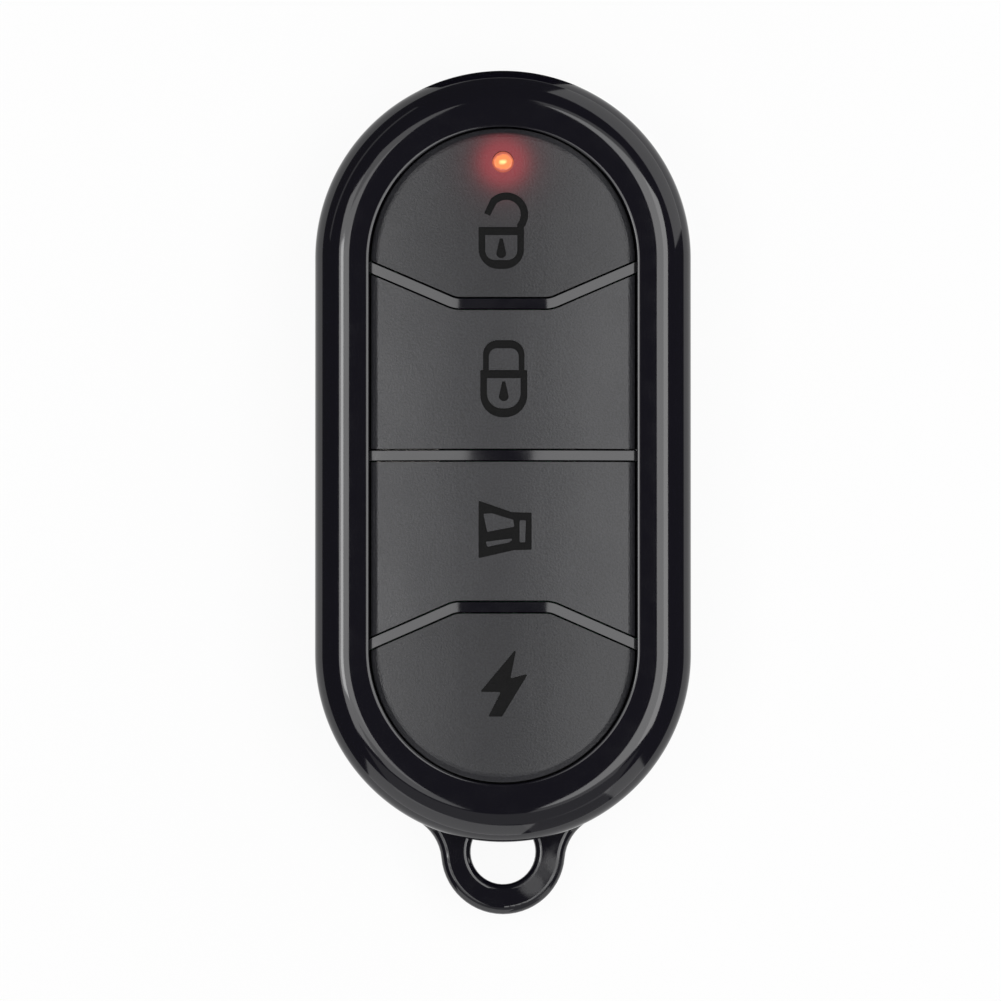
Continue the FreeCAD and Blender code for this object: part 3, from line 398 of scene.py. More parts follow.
def turned_mesh(name, outline, steps):
    """Closed solid of revolution about Z, from an outline of (radius, level) that starts and ends on Z."""
    build = bmesh.new()
    bottom = build.verts.new((0, 0, outline[0][1]))
    top = build.verts.new((0, 0, outline[-1][1]))
    angles = [2 * math.pi * step / steps for step in range(steps)]
    rings = []
    for radius, level in outline[1:-1]:
        points = [(radius * math.cos(angle), radius * math.sin(angle), level) for angle in angles]
        rings.append([build.verts.new(point) for point in points])
    for step in range(steps):
        after = (step + 1) % steps
        build.faces.new((bottom, rings[0][after], rings[0][step]))
        build.faces.new((top, rings[-1][step], rings[-1][after]))
        for first, second in zip(rings, rings[1:]):
            build.faces.new((first[step], first[after], second[after], second[step]))
    return mesh_of(build, name)


def in_metres(points):
    return [(x * MM, y * MM) for x, y in points]


def box_mesh(name, low, high):
    build = bmesh.new()
    bmesh.ops.create_cube(build, size=1)
    size = Vector(high) - Vector(low)
    middle = (Vector(high) + Vector(low)) / 2
    place = Matrix.Translation(middle) @ Matrix.Diagonal(size).to_4x4()
    bmesh.ops.transform(build, matrix=place, verts=build.verts)
    return mesh_of(build, name)


def quarter_points(start, corner, end, steps, handles=QUARTER_HANDLES):
    """Points of a rounding from start to end, tangent to the lines that meet in corner."""
    start, corner, end = Vector(start), Vector(corner), Vector(end)
    first = start + (corner - start) * handles[0]
    last = end + (corner - end) * handles[1]
    points = []
    for step in range(steps + 1):
        t = step / steps
        s = 1 - t
        points.append(s ** 3 * start + 3 * s * s * t * first + 3 * s * t * t * last + t ** 3 * end)
    return points


# Node trees


class Nodes:
    """Short hand for adding and linking the nodes of one tree."""

    def __init__(self, tree):
        self.tree = tree

    def add(self, kind, inputs=None, **options):
        """New node, with inputs that are linked to a socket or set to a value."""
        count = len(self.tree.nodes)
        node = self.tree.nodes.new(kind)
        node.location = (count * NODE_WIDTH, -(count % NODE_ROWS) * NODE_HEIGHT)
        for name, value in options.items():
            setattr(node, name, value)
        for name, value in (inputs or {}).items():
            socket = node.inputs[name]
            if isinstance(value, bpy.types.NodeSocket):
                self.tree.links.new(value, socket)
            elif socket.type == "RGBA":
                socket.default_value = (*value, 1)
            else:
                socket.default_value = value
        return node

    def maths(self, operation, first, second=0.0):
        return self.add("ShaderNodeMath", {0: first, 1: second}, operation=operation).outputs[0]

    def plus(self, first, second):
        return self.maths("ADD", first, second)

    def minus(self, first, second):
        return self.maths("SUBTRACT", first, second)

    def times(self, first, second):
        return self.maths("MULTIPLY", first, second)

    def over(self, first, second):
        return self.maths("DIVIDE", first, second)

    def axes(self, vector):
        """The three parts of a vector, by the names X, Y and Z."""
        return self.add("ShaderNodeSeparateXYZ", {0: vector}).outputs

    def vector(self, **parts):
        return self.add("ShaderNodeCombineXYZ", parts).outputs[0]

    def length(self, vector):
        return self.add("ShaderNodeVectorMath", {0: vector}, operation="LENGTH").outputs["Value"]

    def place(self):
        """The shaded point in the object's own coordinates."""
        return self.add("ShaderNodeTexCoord").outputs["Object"]

    def noise(self, place, size, detail):
        sockets = {"Vector": place, "Scale": self.over(1.0, size), "Detail": detail}
        return self.add("ShaderNodeTexNoise", sockets).outputs["Fac"]

    def spread(self, value, start, end, low, high, interpolation="LINEAR"):
        """low up to the start, high from the end on, and what lies between in proportion."""
        sockets = {"Value": value, "From Min": start, "From Max": end, "To Min": low, "To Max": high}
        return self.add("ShaderNodeMapRange", sockets, interpolation_type=interpolation).outputs[0]

    def mixed(self, share, first, second):
        """Mix of two colours."""
        return self.add("ShaderNodeMix", {0: share, 6: first, 7: second}, data_type="RGBA").outputs[2]

    def blend(self, share, first, second):
        """Mix of two shaders."""
        sockets = {0: share, 1: first.outputs[0], 2: second.outputs[0]}
        return self.add("ShaderNodeMixShader", sockets).outputs[0]

    def bump(self, height, depth):
        sockets = {"Height": height, "Distance": depth, "Strength": 1.0}
        return self.add("ShaderNodeBump", sockets).outputs[0]

    def group(self, name, sockets):
        """Outputs of one of the shader groups."""
        return self.add("ShaderNodeGroup", sockets, node_tree=shader_group(name)).outputs

    def grain(self, size, detail, low, high):
        return self.group("Fine grain", {"Size": size, "Detail": detail, "Low": low, "High": high})

    def near_face(self, start, end):
        return self.group("Near the face", {"Start depth": start * MM, "End depth": end * MM})["Share"]

    def two_tone(self, grain, shade, colour):
        """A colour with darker patches."""
        return self.mixed(self.grain(*grain)["Value"], shaded(colour, shade), colour)


def shaded(colour, share):
    return tuple(channel * share for channel in colour)


def new_group(name, kind, inputs, outputs):
    """Empty node group, as its Nodes helper, the sockets that it is given and the node that ends it.

    Each input has a default value or, in place of that, a type of socket."""
    tree = bpy.data.node_groups.new(name, kind)
    for label, value in inputs.items():
        socket = INPUT_TYPES.get(type(value), value)
        item = tree.interface.new_socket(label, in_out="INPUT", socket_type="NodeSocket" + socket)
        if socket != value:
            item.default_value = value
    for label in outputs:
        socket = OUTPUT_TYPES[kind]
        tree.interface.new_socket(label, in_out="OUTPUT", socket_type="NodeSocket" + socket)
    nodes = Nodes(tree)
    return nodes, nodes.add("NodeGroupInput").outputs, nodes.add("NodeGroupOutput")


def row_of_points(nodes, count, x, y):
    """Loose points at places that depend on their index."""
    line = nodes.add("GeometryNodeMeshLine", {"Count": count})
    sockets = {"Geometry": line.outputs[0], "Position": nodes.vector(X=x, Y=y)}
    return nodes.add("GeometryNodeSetPosition", sockets).outputs[0]


def shape_of(nodes, piece):
    """Geometry of an object, in its own coordinates."""
    node = nodes.add("GeometryNodeObjectInfo", {"Object": piece}, transform_space="ORIGINAL")
    return node.outputs["Geometry"]


def finished_tree(nodes, made, geometry, material):
    """Ends a Geometry Nodes tree with real geometry in its material."""
    real = nodes.add("GeometryNodeRealizeInstances", {"Geometry": geometry})
    dressed = nodes.add("GeometryNodeSetMaterial", {"Geometry": real.outputs[0], "Material": material})
    nodes.tree.links.new(dressed.outputs[0], made.inputs[0])
    return nodes.tree


def sweep_tree():
    """Carries a closed profile once round the outline of the case.

    Points closer to the middle line than the inner limit are moved towards the middle of the case."""
    nodes, given, made = new_group(
        "Sweep round the case", "GeometryNodeTree",
        {
            "Profile": "Object", "Path radius": 0.012, "Straight": 0.0316, "End steps": 96,
            "Inner limit": 0.0, "Inner shift": 0.0, "Material": "Material",
        },
        ["Geometry"],
    )
    per_end = nodes.plus(given["End steps"], 1.0)
    count = nodes.times(per_end, 2.0)
    index = nodes.add("GeometryNodeInputIndex").outputs[0]
    second_end = nodes.maths("GREATER_THAN", index, nodes.minus(per_end, 0.5))
    step = nodes.minus(index, nodes.times(second_end, per_end))
    turn = nodes.plus(nodes.over(step, given["End steps"]), second_end)
    angle = nodes.times(turn, math.pi)
    x = nodes.times(nodes.maths("COSINE", angle), given["Path radius"])
    round_y = nodes.times(nodes.maths("SINE", angle), given["Path radius"])
    side = nodes.minus(0.5, second_end)
    y = nodes.plus(round_y, nodes.times(side, given["Straight"]))
    curve = nodes.add("GeometryNodeMeshToCurve", {"Mesh": row_of_points(nodes, count, x, y)})
    ring = nodes.add("GeometryNodeSetSplineCyclic", {"Geometry": curve.outputs[0], "Cyclic": True})
    upright = nodes.add("GeometryNodeSetCurveNormal", {"Curve": ring.outputs[0]}, mode="Z_UP")
    swept = nodes.add(
        "GeometryNodeCurveToMesh",
        {"Curve": upright.outputs[0], "Profile Curve": shape_of(nodes, given["Profile"])},
    )
    point = nodes.axes(nodes.add("GeometryNodeInputPosition").outputs[0])
    half = nodes.times(given["Straight"], 0.5)
    past = nodes.minus(nodes.maths("ABSOLUTE", point["Y"]), half)
    reach = nodes.length(nodes.vector(X=point["X"], Y=past))
    inner = nodes.maths("LESS_THAN", reach, given["Inner limit"])
    back = nodes.times(nodes.maths("SIGN", point["Y"]), given["Inner shift"])
    move = nodes.vector(Y=nodes.times(back, -1.0))
    shaped = nodes.add(
        "GeometryNodeSetPosition", {"Geometry": swept.outputs[0], "Selection": inner, "Offset": move},
    )
    return finished_tree(nodes, made, shaped.outputs[0], given["Material"])


def screw_places_tree():
    """Sets a copy of an object on each of the four screw places."""
    nodes, given, made = new_group(
        "Set on the screw places", "GeometryNodeTree",
        {
            "Object": "Object", "Radial distance": 0.0106, "Straight": 0.0316, "Turn": 0.698,
            "Random turn": 0.0, "Seed": 0, "Material": "Material",
        },
        ["Geometry"],
    )
    index = nodes.add("GeometryNodeInputIndex").outputs[0]
    low_end = nodes.maths("GREATER_THAN", index, 1.5)
    odd = nodes.maths("MODULO", index, 2.0)
    left = nodes.minus(nodes.times(odd, 2.0), 1.0)
    away = nodes.minus(1.0, nodes.times(low_end, 2.0))
    across = nodes.times(nodes.maths("SINE", given["Turn"]), given["Radial distance"])
    along = nodes.times(nodes.maths("COSINE", given["Turn"]), given["Radial distance"])
    half = nodes.times(given["Straight"], 0.5)
    x = nodes.times(left, across)
    y = nodes.times(away, nodes.plus(along, half))
    points = nodes.add("GeometryNodeMeshToPoints", {"Mesh": row_of_points(nodes, 4, x, y)})
    outward = nodes.maths("ARCTAN2", nodes.times(away, along), x)
    chance = nodes.add("FunctionNodeRandomValue", {"Seed": given["Seed"]}, data_type="FLOAT")
    random_turn = nodes.times(chance.outputs[1], given["Random turn"])
    spin = nodes.vector(Z=nodes.plus(outward, random_turn))
    copies = nodes.add(
        "GeometryNodeInstanceOnPoints",
        {"Points": points.outputs[0], "Instance": shape_of(nodes, given["Object"]), "Rotation": spin},
    )
    return finished_tree(nodes, made, copies.outputs[0], given["Material"])


def grain_nodes(nodes, size, detail, low, high):
    """Noise of a given size, as a value between two limits and as a height."""
    noise = nodes.noise(nodes.place(), size, detail)
    return nodes.spread(noise, *GRAIN_LIMITS, low, high), noise


def rolled_nodes(nodes, size, stretch, low, high):
    """Noise drawn out along X, for rolled and brushed metal."""
    point = nodes.axes(nodes.place())
    drawn = nodes.vector(X=nodes.over(point["X"], stretch), Y=point["Y"], Z=point["Z"])
    noise = nodes.noise(drawn, size, METAL_DETAIL)
    return nodes.spread(noise, *METAL_LIMITS, low, high), noise


def near_face_nodes(nodes, start, end):
    """1 on the keys' crowned face, falling to 0 between two depths below the crown."""
    point = nodes.axes(nodes.place())
    fall = nodes.times(point["X"], point["X"])
    fall = nodes.over(fall, 2 * CROWN_RADIUS * MM)
    depth = nodes.minus(nodes.minus(CROWN_LEVEL * MM, fall), point["Z"])
    return [nodes.spread(depth, start, end, 1.0, 0.0)]


def lens_distance_nodes(nodes, stretch):
    """Distance of the shaded point from the lens's middle, seen from above, with Y stretched."""
    low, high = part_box("led_lens")
    middle = (low + high) / 2
    point = nodes.axes(nodes.place())
    across = nodes.minus(point["X"], middle.x)
    along = nodes.minus(point["Y"], middle.y)
    return [nodes.length(nodes.vector(X=across, Y=nodes.times(along, stretch)))]


# Shader groups: inputs with their defaults, outputs, and the function that makes their nodes
SHADER_GROUPS = {
    "Fine grain": (
        {"Size": 0.0002, "Detail": 2.0, "Low": 0.0, "High": 1.0}, ["Value", "Height"], grain_nodes,
    ),
    "Rolled metal": (
        {"Size": 0.0002, "Stretch": 12.0, "Low": 0.2, "High": 0.4}, ["Value", "Height"], rolled_nodes,
    ),
    "Near the face": ({"Start depth": 0.0001, "End depth": 0.0002}, ["Share"], near_face_nodes),
    "Distance from the lens": ({"Stretch": 1.0}, ["Distance"], lens_distance_nodes),
}


def shader_group(name):
    """One of the shader groups, made at its first use."""
    if name not in bpy.data.node_groups:
        inputs, outputs, make = SHADER_GROUPS[name]
        nodes, given, made = new_group(name, "ShaderNodeTree", inputs, outputs)
        for label, value in zip(outputs, make(nodes, *(given[label] for label in inputs))):
            nodes.tree.links.new(value, made.inputs[label])
    return bpy.data.node_groups[name]


# Materials


def emptied(owner):
    """Nodes helper for the emptied tree of a material or a world."""
    owner.use_nodes = True
    owner.node_tree.nodes.clear()
    return Nodes(owner.node_tree)


def new_material(name):
    material = bpy.data.materials.new(name)
    return material, emptied(material)


def finished_material(material, nodes, sockets):
    """Ends a material with its Principled shader."""
    shader = nodes.add("ShaderNodeBsdfPrincipled", sockets)
    nodes.add("ShaderNodeOutputMaterial", {"Surface": shader.outputs[0]})
    return material


def gloss_plastic(case):
    """Polished black plastic with a moulding's faint waviness, duller on the bars and rubbed on the loop."""
    material, nodes = new_material("gloss_plastic")
    place = nodes.place()
    centre = Vector(RUB_PLACE) * MM
    far = nodes.add("ShaderNodeVectorMath", {0: place, 1: centre}, operation="DISTANCE").outputs["Value"]
    far = nodes.plus(far, nodes.grain(*RUB_EDGE)["Value"])
    rub = nodes.spread(far, RUB_INNER * MM, RUB_OUTER * MM, RUB_ROUGHNESS, 0.0, "SMOOTHSTEP")
    point = nodes.axes(place)
    past = nodes.minus(nodes.maths("ABSOLUTE", point["Y"]), case.straight / 2)
    reach = nodes.length(nodes.vector(X=point["X"], Y=nodes.maths("MAXIMUM", past, 0.0)))
    inside = nodes.maths("LESS_THAN", reach, case.opening_radius - BAR_DULL_MARGIN * MM)
    above = nodes.maths("GREATER_THAN", point["Z"], BAR_DULL_LEVEL * MM)
    dullness = nodes.times(nodes.times(inside, above), BAR_DULLNESS)
    dulled = nodes.plus(nodes.grain(*GLOSS_HAZE)["Value"], dullness)
    return finished_material(material, nodes, {
        "Base Color": case.gloss_colour,
        "IOR": case.gloss_index,
        "Roughness": nodes.plus(dulled, rub),
        "Normal": nodes.bump(nodes.grain(*GLOSS_WAVES)["Height"], GLOSS_BUMP),
    })


def key_plastic(name, keys, shade=1.0, lamp=None):
    """Spark-eroded matt plastic with painted shade down the keys' sides; the lamp's key also glows round its
    lens.
    """
    material, nodes = new_material(name)
    fine = nodes.grain(keys.grain_size, 2, 0, 1)
    face = nodes.near_face(*SIDE_SHADE_DEPTHS)
    # shade darkens the whole material as painted shade, for the darker end keys
    colour = nodes.mixed(fine["Value"], shaded(keys.speck_colour, shade), shaded(keys.colour, shade))
    side = nodes.times(nodes.minus(1.0, face), SIDE_ROUGHNESS)
    sockets = {
        # Painted shade: the keys' sides turn dark below the face
        "Base Color": nodes.mixed(face, SIDE_PAINTED_SHADE_COLOUR, colour),
        "Roughness": nodes.maths("MAXIMUM", nodes.grain(*KEY_SHEEN)["Value"], side),
        "Specular IOR Level": KEY_SPECULAR * shade,
        "Normal": nodes.bump(fine["Height"], KEY_BUMP),
    }
    if lamp:
        away = nodes.group("Distance from the lens", {"Stretch": 1.0})["Distance"]
        fall = nodes.maths("POWER", nodes.over(away, lamp.glow_radius), GLOW_FALL)
        fade = nodes.over(1.0, nodes.plus(fall, 1.0))
        share = nodes.times(fade, nodes.near_face(*GLOW_DEPTHS))
        sockets["Emission Color"] = nodes.mixed(share, (0, 0, 0), lamp.glow_colour)
        sockets["Emission Strength"] = 1
    return finished_material(material, nodes, sockets)


def symbol_paint(keys):
    material, nodes = new_material("symbol_fill")
    grain = nodes.grain(*SYMBOL_GRAIN)
    return finished_material(material, nodes, {
        "Base Color": keys.symbol_colour,
        "Specular IOR Level": SYMBOL_SPECULAR,
        "Roughness": grain["Value"],
        "Normal": nodes.bump(grain["Height"], SYMBOL_BUMP),
    })


def lit_lens(lamp):
    """Lens that is lit from below, brightest in its middle."""
    material, nodes = new_material("lit_lens")
    away = nodes.group("Distance from the lens", {"Stretch": LENS_SQUEEZE})["Distance"]
    reach = nodes.over(away, LENS_REACH * MM)
    ramp = nodes.add("ShaderNodeValToRGB", {
        "Fac": nodes.plus(reach, nodes.grain(*LENS_MOTTLE)["Value"]),
    })
    stops = ramp.color_ramp.elements
    stops[0].position = LENS_STOPS[0]
    stops[0].color = (*lamp.core_colour, 1)
    stops[1].position = LENS_STOPS[3]
    stops[1].color = (*lamp.edge_colour, 1)
    for position in LENS_STOPS[1:3]:
        stops.new(position).color = (*lamp.body_colour, 1)
    return finished_material(material, nodes, {
        "Base Color": LENS_BASE_COLOUR,
        "Roughness": LENS_ROUGHNESS,
        "Emission Color": ramp.outputs["Color"],
        "Emission Strength": 1,
    })


def rolled_metal(name, colour, low, high, size=METAL_SIZE):
    material, nodes = new_material(name)
    drawn = nodes.group("Rolled metal", {"Size": size, "Stretch": METAL_STRETCH, "Low": low, "High": high})
    return finished_material(material, nodes, {
        "Base Color": nodes.two_tone(METAL_TINT, METAL_SHADE, colour),
        "Roughness": drawn["Value"],
        "Metallic": 1,
        "Normal": nodes.bump(drawn["Height"], METAL_BUMP),
    })


def moulded(name, colour, low, high):
    """Matt moulded resin, ceramic or paint."""
    material, nodes = new_material(name)
    fine = nodes.grain(MOULDED_SIZE, 2, low, high)
    return finished_material(material, nodes, {
        "Base Color": nodes.two_tone(MOULDED_TINT, MOULDED_SHADE, colour),
        "Roughness": fine["Value"],
        "Normal": nodes.bump(fine["Height"], MOULDED_BUMP),
    })


def solder_mask():
    """Green board with slightly lighter tracks under its mask."""
    material, nodes = new_material("solder_mask")
    cells = nodes.add(
        "ShaderNodeTexVoronoi", {"Vector": nodes.place(), "Scale": TRACK_SCALE},
        feature="DISTANCE_TO_EDGE", voronoi_dimensions="3D",
    )
    track = nodes.spread(cells.outputs["Distance"], *TRACK_EDGE, 1.0, 0.0)
    return finished_material(material, nodes, {
        "Base Color": nodes.mixed(track, MASK_COLOUR, TRACK_COLOUR),
        "Roughness": nodes.grain(*MASK_HAZE)["Value"],
        "Normal": nodes.bump(track, TRACK_BUMP),
    })


# Metals and mouldings of the inner pieces by the record's slot: the function that makes them, their colour,
# their lowest and highest roughness, and the size of their grain where it isn't the usual one
INNER_MATERIALS = {
    "cell_can": (rolled_metal, (0.62, 0.62, 0.6), 0.16, 0.34),
    "spring_metal": (rolled_metal, (0.6, 0.59, 0.56), 0.22, 0.4),
    "led_body": (moulded, (0.8, 0.55, 0.38), 0.2, 0.35),
    "chip_resin": (moulded, (0.02, 0.02, 0.022), 0.55, 0.75),
    "tinned_lead": (rolled_metal, (0.65, 0.65, 0.66), 0.28, 0.45),
    "metal_can": (rolled_metal, (0.62, 0.6, 0.55), 0.25, 0.4),
    "ferrite": (moulded, (0.05, 0.05, 0.055), 0.6, 0.8),
    "capacitor_ceramic": (moulded, (0.42, 0.28, 0.16), 0.4, 0.6),
    "copper": (rolled_metal, (0.72, 0.35, 0.2), 0.25, 0.45),
    "switch_resin": (moulded, (0.03, 0.03, 0.032), 0.45, 0.6),
    "screw_steel": (rolled_metal, (0.35, 0.35, 0.36), 0.28, 0.5, 0.08 * MM),
}


def dress(node, material):
    """Gives a kept CAD node its material."""
    for material_slot in frame["nodes"][node].material_slots:
        material_slot.material = material


def body_of(node):
    for body, members in frame["record"]["behaviour"]["bodies"].items():
        if node in members:
            return body
    raise RuntimeError("the record has no body for " + node)


# Front half of the case


def rim_profile(case):
    """Outline of the rim's section, as (distance from the path, level)."""
    outer = case.outer_radius / MM
    opening = case.opening_radius / MM
    band_outer = outer - case.shoulder_width / MM
    wall_top = BAND_LEVEL - case.shoulder_drop / MM
    points = [
        (opening, CEILING_LEVEL), (INTERIOR_RADIUS, CEILING_LEVEL), (INTERIOR_RADIUS, REBATE_LEVEL),
        (REBATE_RADIUS, REBATE_LEVEL), (REBATE_RADIUS, SEAM_LEVEL), (outer - SEAM_BEVEL, SEAM_LEVEL),
        (outer, SEAM_LEVEL + SEAM_BEVEL),
    ]
    points += quarter_points(
        (outer, wall_top), (outer, BAND_LEVEL), (band_outer, BAND_LEVEL), SHOULDER_STEPS, SHOULDER_HANDLES,
    )
    points += quarter_points(
        (opening + BAND_EDGE_WIDTH, BAND_LEVEL), (opening, BAND_LEVEL),
        (opening, BAND_LEVEL - BAND_EDGE_DROP), EDGE_STEPS,
    )
    return [Vector(point) * MM for point in points]


def profile_object(points, path_radius):
    """Closed flat curve of a profile, for the sweep."""
    curve = bpy.data.curves.new("rim_profile", "CURVE")
    curve.dimensions = "3D"
    spline = curve.splines.new("POLY")
    spline.points.add(len(points) - 1)
    for point, (radius, level) in zip(spline.points, points):
        point.co = (radius - path_radius, -level, 0, 1)
    spline.use_cyclic_u = True
    return show("rim_profile", curve)


def crown_level(x):
    return CROWN_LEVEL - CROWN_RADIUS + math.sqrt(CROWN_RADIUS ** 2 - x ** 2)


def flattened_level(x):
    """Level of the crown where its middle is flat and runs smoothly over into the curve."""
    start, end = CROWN_FLAT
    x = abs(x)
    if x >= end:
        return crown_level(x)
    level = crown_level(end)
    width = (end - x) / CROWN_SUM_STEPS
    for step in range(CROWN_SUM_STEPS):
        middle = x + (step + 0.5) * width
        t = min(max((middle - start) / (end - start), 0), 1)
        level += t * t * (3 - 2 * t) * middle / CROWN_RADIUS * width
    return level


def bar_path(side):
    """Stations of a bar from left to right, as (point, direction); side 0 is the straight one."""
    slope = math.radians(BAR_SLOPE) * abs(side)
    flat_end = BAR_FLAT / 2 - BAR_BEND * math.tan(slope / 2)
    right = []
    for step in range(BAR_RUN_STEPS + 1):
        right.append((Vector((flat_end * step / BAR_RUN_STEPS, 0)), 0.0))
    if side:
        for step in range(1, BAR_BEND_STEPS + 1):
            angle = slope * step / BAR_BEND_STEPS
            point = Vector((flat_end + BAR_BEND * math.sin(angle), BAR_BEND * (1 - math.cos(angle))))
            right.append((point, angle))
    start = right[-1][0].copy()
    for step in range(1, BAR_RUN_STEPS + 1):
        x = start.x + (BAR_REACH - start.x) * step / BAR_RUN_STEPS
        right.append((Vector((x, start.y + (x - start.x) * math.tan(slope))), slope))
    left = [(Vector((-point.x, point.y)), -angle) for point, angle in right[:0:-1]]
    return left + right


def bar_section(half):
    """Upper side of a bar's section with its rounded edges, as (across, depth below the top)."""
    edge = BAR_EDGE_ROUND
    flat = half - edge - BAR_EDGE_SUPPORT
    points = quarter_points((half, edge), (half, 0), (half - edge, 0), BAR_EDGE_STEPS)
    points += [Vector((flat, 0)), Vector((-flat, 0))]
    points += quarter_points((edge - half, 0), (-half, 0), (-half, edge), BAR_EDGE_STEPS)
    return points


def bar_top(x, side):
    """Level of a bar's top; the bent bars are flattened in the middle."""
    return (flattened_level(x) if side else crown_level(x)) - CROWN_SINK


def bar_mesh(name, side, reach, half, foot, flat_top=None):
    """A bar or its root over its whole length; its ends are cut along Y at the reach."""
    build = bmesh.new()
    rings = []
    path = bar_path(side)
    # The two points of the foot have no depth below the top
    section = [(-half, None), (half, None)] + bar_section(half)
    for index, (point, angle) in enumerate(path):
        ring = []
        for across, depth in section:
            x = point.x - across * math.sin(angle)
            y = point.y + across * math.cos(angle)
            if index in (0, len(path) - 1):
                limit = math.copysign(reach, point.x)
                y += (limit - x) * math.tan(angle)
                x = limit
            level = foot if depth is None else (flat_top or bar_top(x, side)) - depth
            sign = side if side else 1
            ring.append(Vector((x, sign * (y + BAR_PITCH * abs(side)), level)) * MM)
        rings.append(ring)
    skin_rings(build, rings)
    return mesh_of(build, name)


def boss_mesh():
    """Screw boss with its blind pilot hole."""
    outline = [
        (0, PILOT_TOP), (PILOT_RADIUS, PILOT_TOP), (PILOT_RADIUS, BOSS_BOTTOM), (BOSS_RADIUS, BOSS_BOTTOM),
        (BOSS_RADIUS, BOSS_TOP), (0, BOSS_TOP),
    ]
    return turned_mesh("boss", in_metres(outline), BOSS_STEPS)


def web_mesh():
    low = (0, -WEB_WIDTH / 2 * MM, WEB_BOTTOM * MM)
    high = (WEB_LENGTH * MM, WEB_WIDTH / 2 * MM, BOSS_TOP * MM)
    return box_mesh("web", low, high)


def rib_meshes():
    meshes = []
    for y in RIB_PLACES:
        for side in (1, -1):
            x = sorted((side * RIB_INNER, side * RIB_OUTER))
            low = (x[0] * MM, (y - RIB_WIDTH / 2) * MM, RIB_BOTTOM * MM)
            high = (x[1] * MM, (y + RIB_WIDTH / 2) * MM, (CEILING_LEVEL + RIB_SINK) * MM)
            meshes.append(box_mesh("rib", low, high))
    return meshes


def on_screw_places(name, mesh, case, material, random_turn=0.0):
    """Four copies of a mesh, turned so that their X points away from the middle of the case's end."""
    source = show(name + "_source", mesh)
    made = bake_tree(name, screw_places_tree(), {
        "Object": source,
        "Radial distance": SCREW_RADIAL * MM,
        "Straight": case.straight,
        "Turn": math.radians(SCREW_TURN),
        "Random turn": random_turn,
        "Seed": SCREW_SEED,
        "Material": material,
    })
    bpy.data.objects.remove(source)
    return made


class REMOTE_OT_front_case(bpy.types.Operator):
    """Makes the glossy rim, the bars between the keys and what holds the screws inside"""

    bl_idname = "remote.front_case"
    bl_label = "Front of the case"

    def execute(self, context):
        case = context.scene.remote_case
        material = gloss_plastic(case)
        path_radius = case.outer_radius - case.shoulder_width
        profile = profile_object(rim_profile(case), path_radius)
        rim = bake_tree("rim", sweep_tree(), {
            "Profile": profile,
            "Path radius": path_radius,
            "Straight": case.straight,
            "End steps": case.end_steps,
            "Inner limit": case.opening_radius + 2 * BAND_EDGE_WIDTH * MM,
            "Inner shift": case.opening_shortening / 2,
            "Material": material,
        })
        bpy.data.objects.remove(profile)
        meshes = [rim]
        for side in (1, 0, -1):
            meshes.append(bar_mesh("bar", side, BAR_REACH, BAR_WIDTH / 2, BAR_FOOT_LEVEL))
            meshes.append(bar_mesh(
                "bar_root", side, BAR_ROOT_REACH, BAR_ROOT_WIDTH / 2, BAR_ROOT_FOOT_LEVEL, BAR_ROOT_LEVEL,
            ))
        meshes.append(on_screw_places("bosses", boss_mesh(), case, material))
        meshes.append(on_screw_places("webs", web_mesh(), case, material))
        meshes += rib_meshes()
        piece = show("front_case", joined_mesh("front_case", meshes, material))
        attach(piece, body_of("front_shell"))
        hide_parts("front_shell")
        return {"FINISHED"}


class REMOTE_OT_rear_case(bpy.types.Operator):
    """Dresses the rear cover with its key-ring loop"""

    bl_idname = "remote.rear_case"
    bl_label = "Rear of the case"

    def execute(self, context):
        dress("rear_cover", bpy.data.materials["gloss_plastic"])
        return {"FINISHED"}


class REMOTE_OT_keys(bpy.types.Operator):
    """Dresses the four keys and their symbols"""

    bl_idname = "remote.keys"
    bl_label = "Keys and symbols"

    def execute(self, context):
        keys = context.scene.remote_keys
        plain = key_plastic("key_plastic", keys)
        # The end keys, the lamp's key among them, get darker copies of the key material as painted shade
        end = key_plastic("end_key_plastic_with_painted_shade", keys, keys.end_keys_painted_shade)
        lit = key_plastic("lit_key_plastic", keys, keys.end_keys_painted_shade, context.scene.remote_lamp)
        fill = symbol_paint(keys)
        for name in KEY_NAMES:
            dress(name + "_key", {"unlock": lit, "flash": end}.get(name, plain))
            dress(name + "_symbol", fill)
        return {"FINISHED"}


class REMOTE_OT_lamp(bpy.types.Operator):
    """Lights the lens of the signal lamp"""

    bl_idname = "remote.lamp"
    bl_label = "Signal lamp"

    def execute(self, context):
        dress("led_lens", lit_lens(context.scene.remote_lamp))
        return {"FINISHED"}


class REMOTE_OT_inside(bpy.types.Operator):
    """Dresses the board, the cell, the switches and the other pieces inside"""

    bl_idname = "remote.inside"
    bl_label = "Inner pieces"

    def execute(self, context):
        by_slot = {slot: make(slot, *values) for slot, (make, *values) in INNER_MATERIALS.items()}
        by_slot["board_green"] = solder_mask()
        for node, slot in SLOTS.items():
            if slot in by_slot:
                dress(node, by_slot[slot])
        return {"FINISHED"}


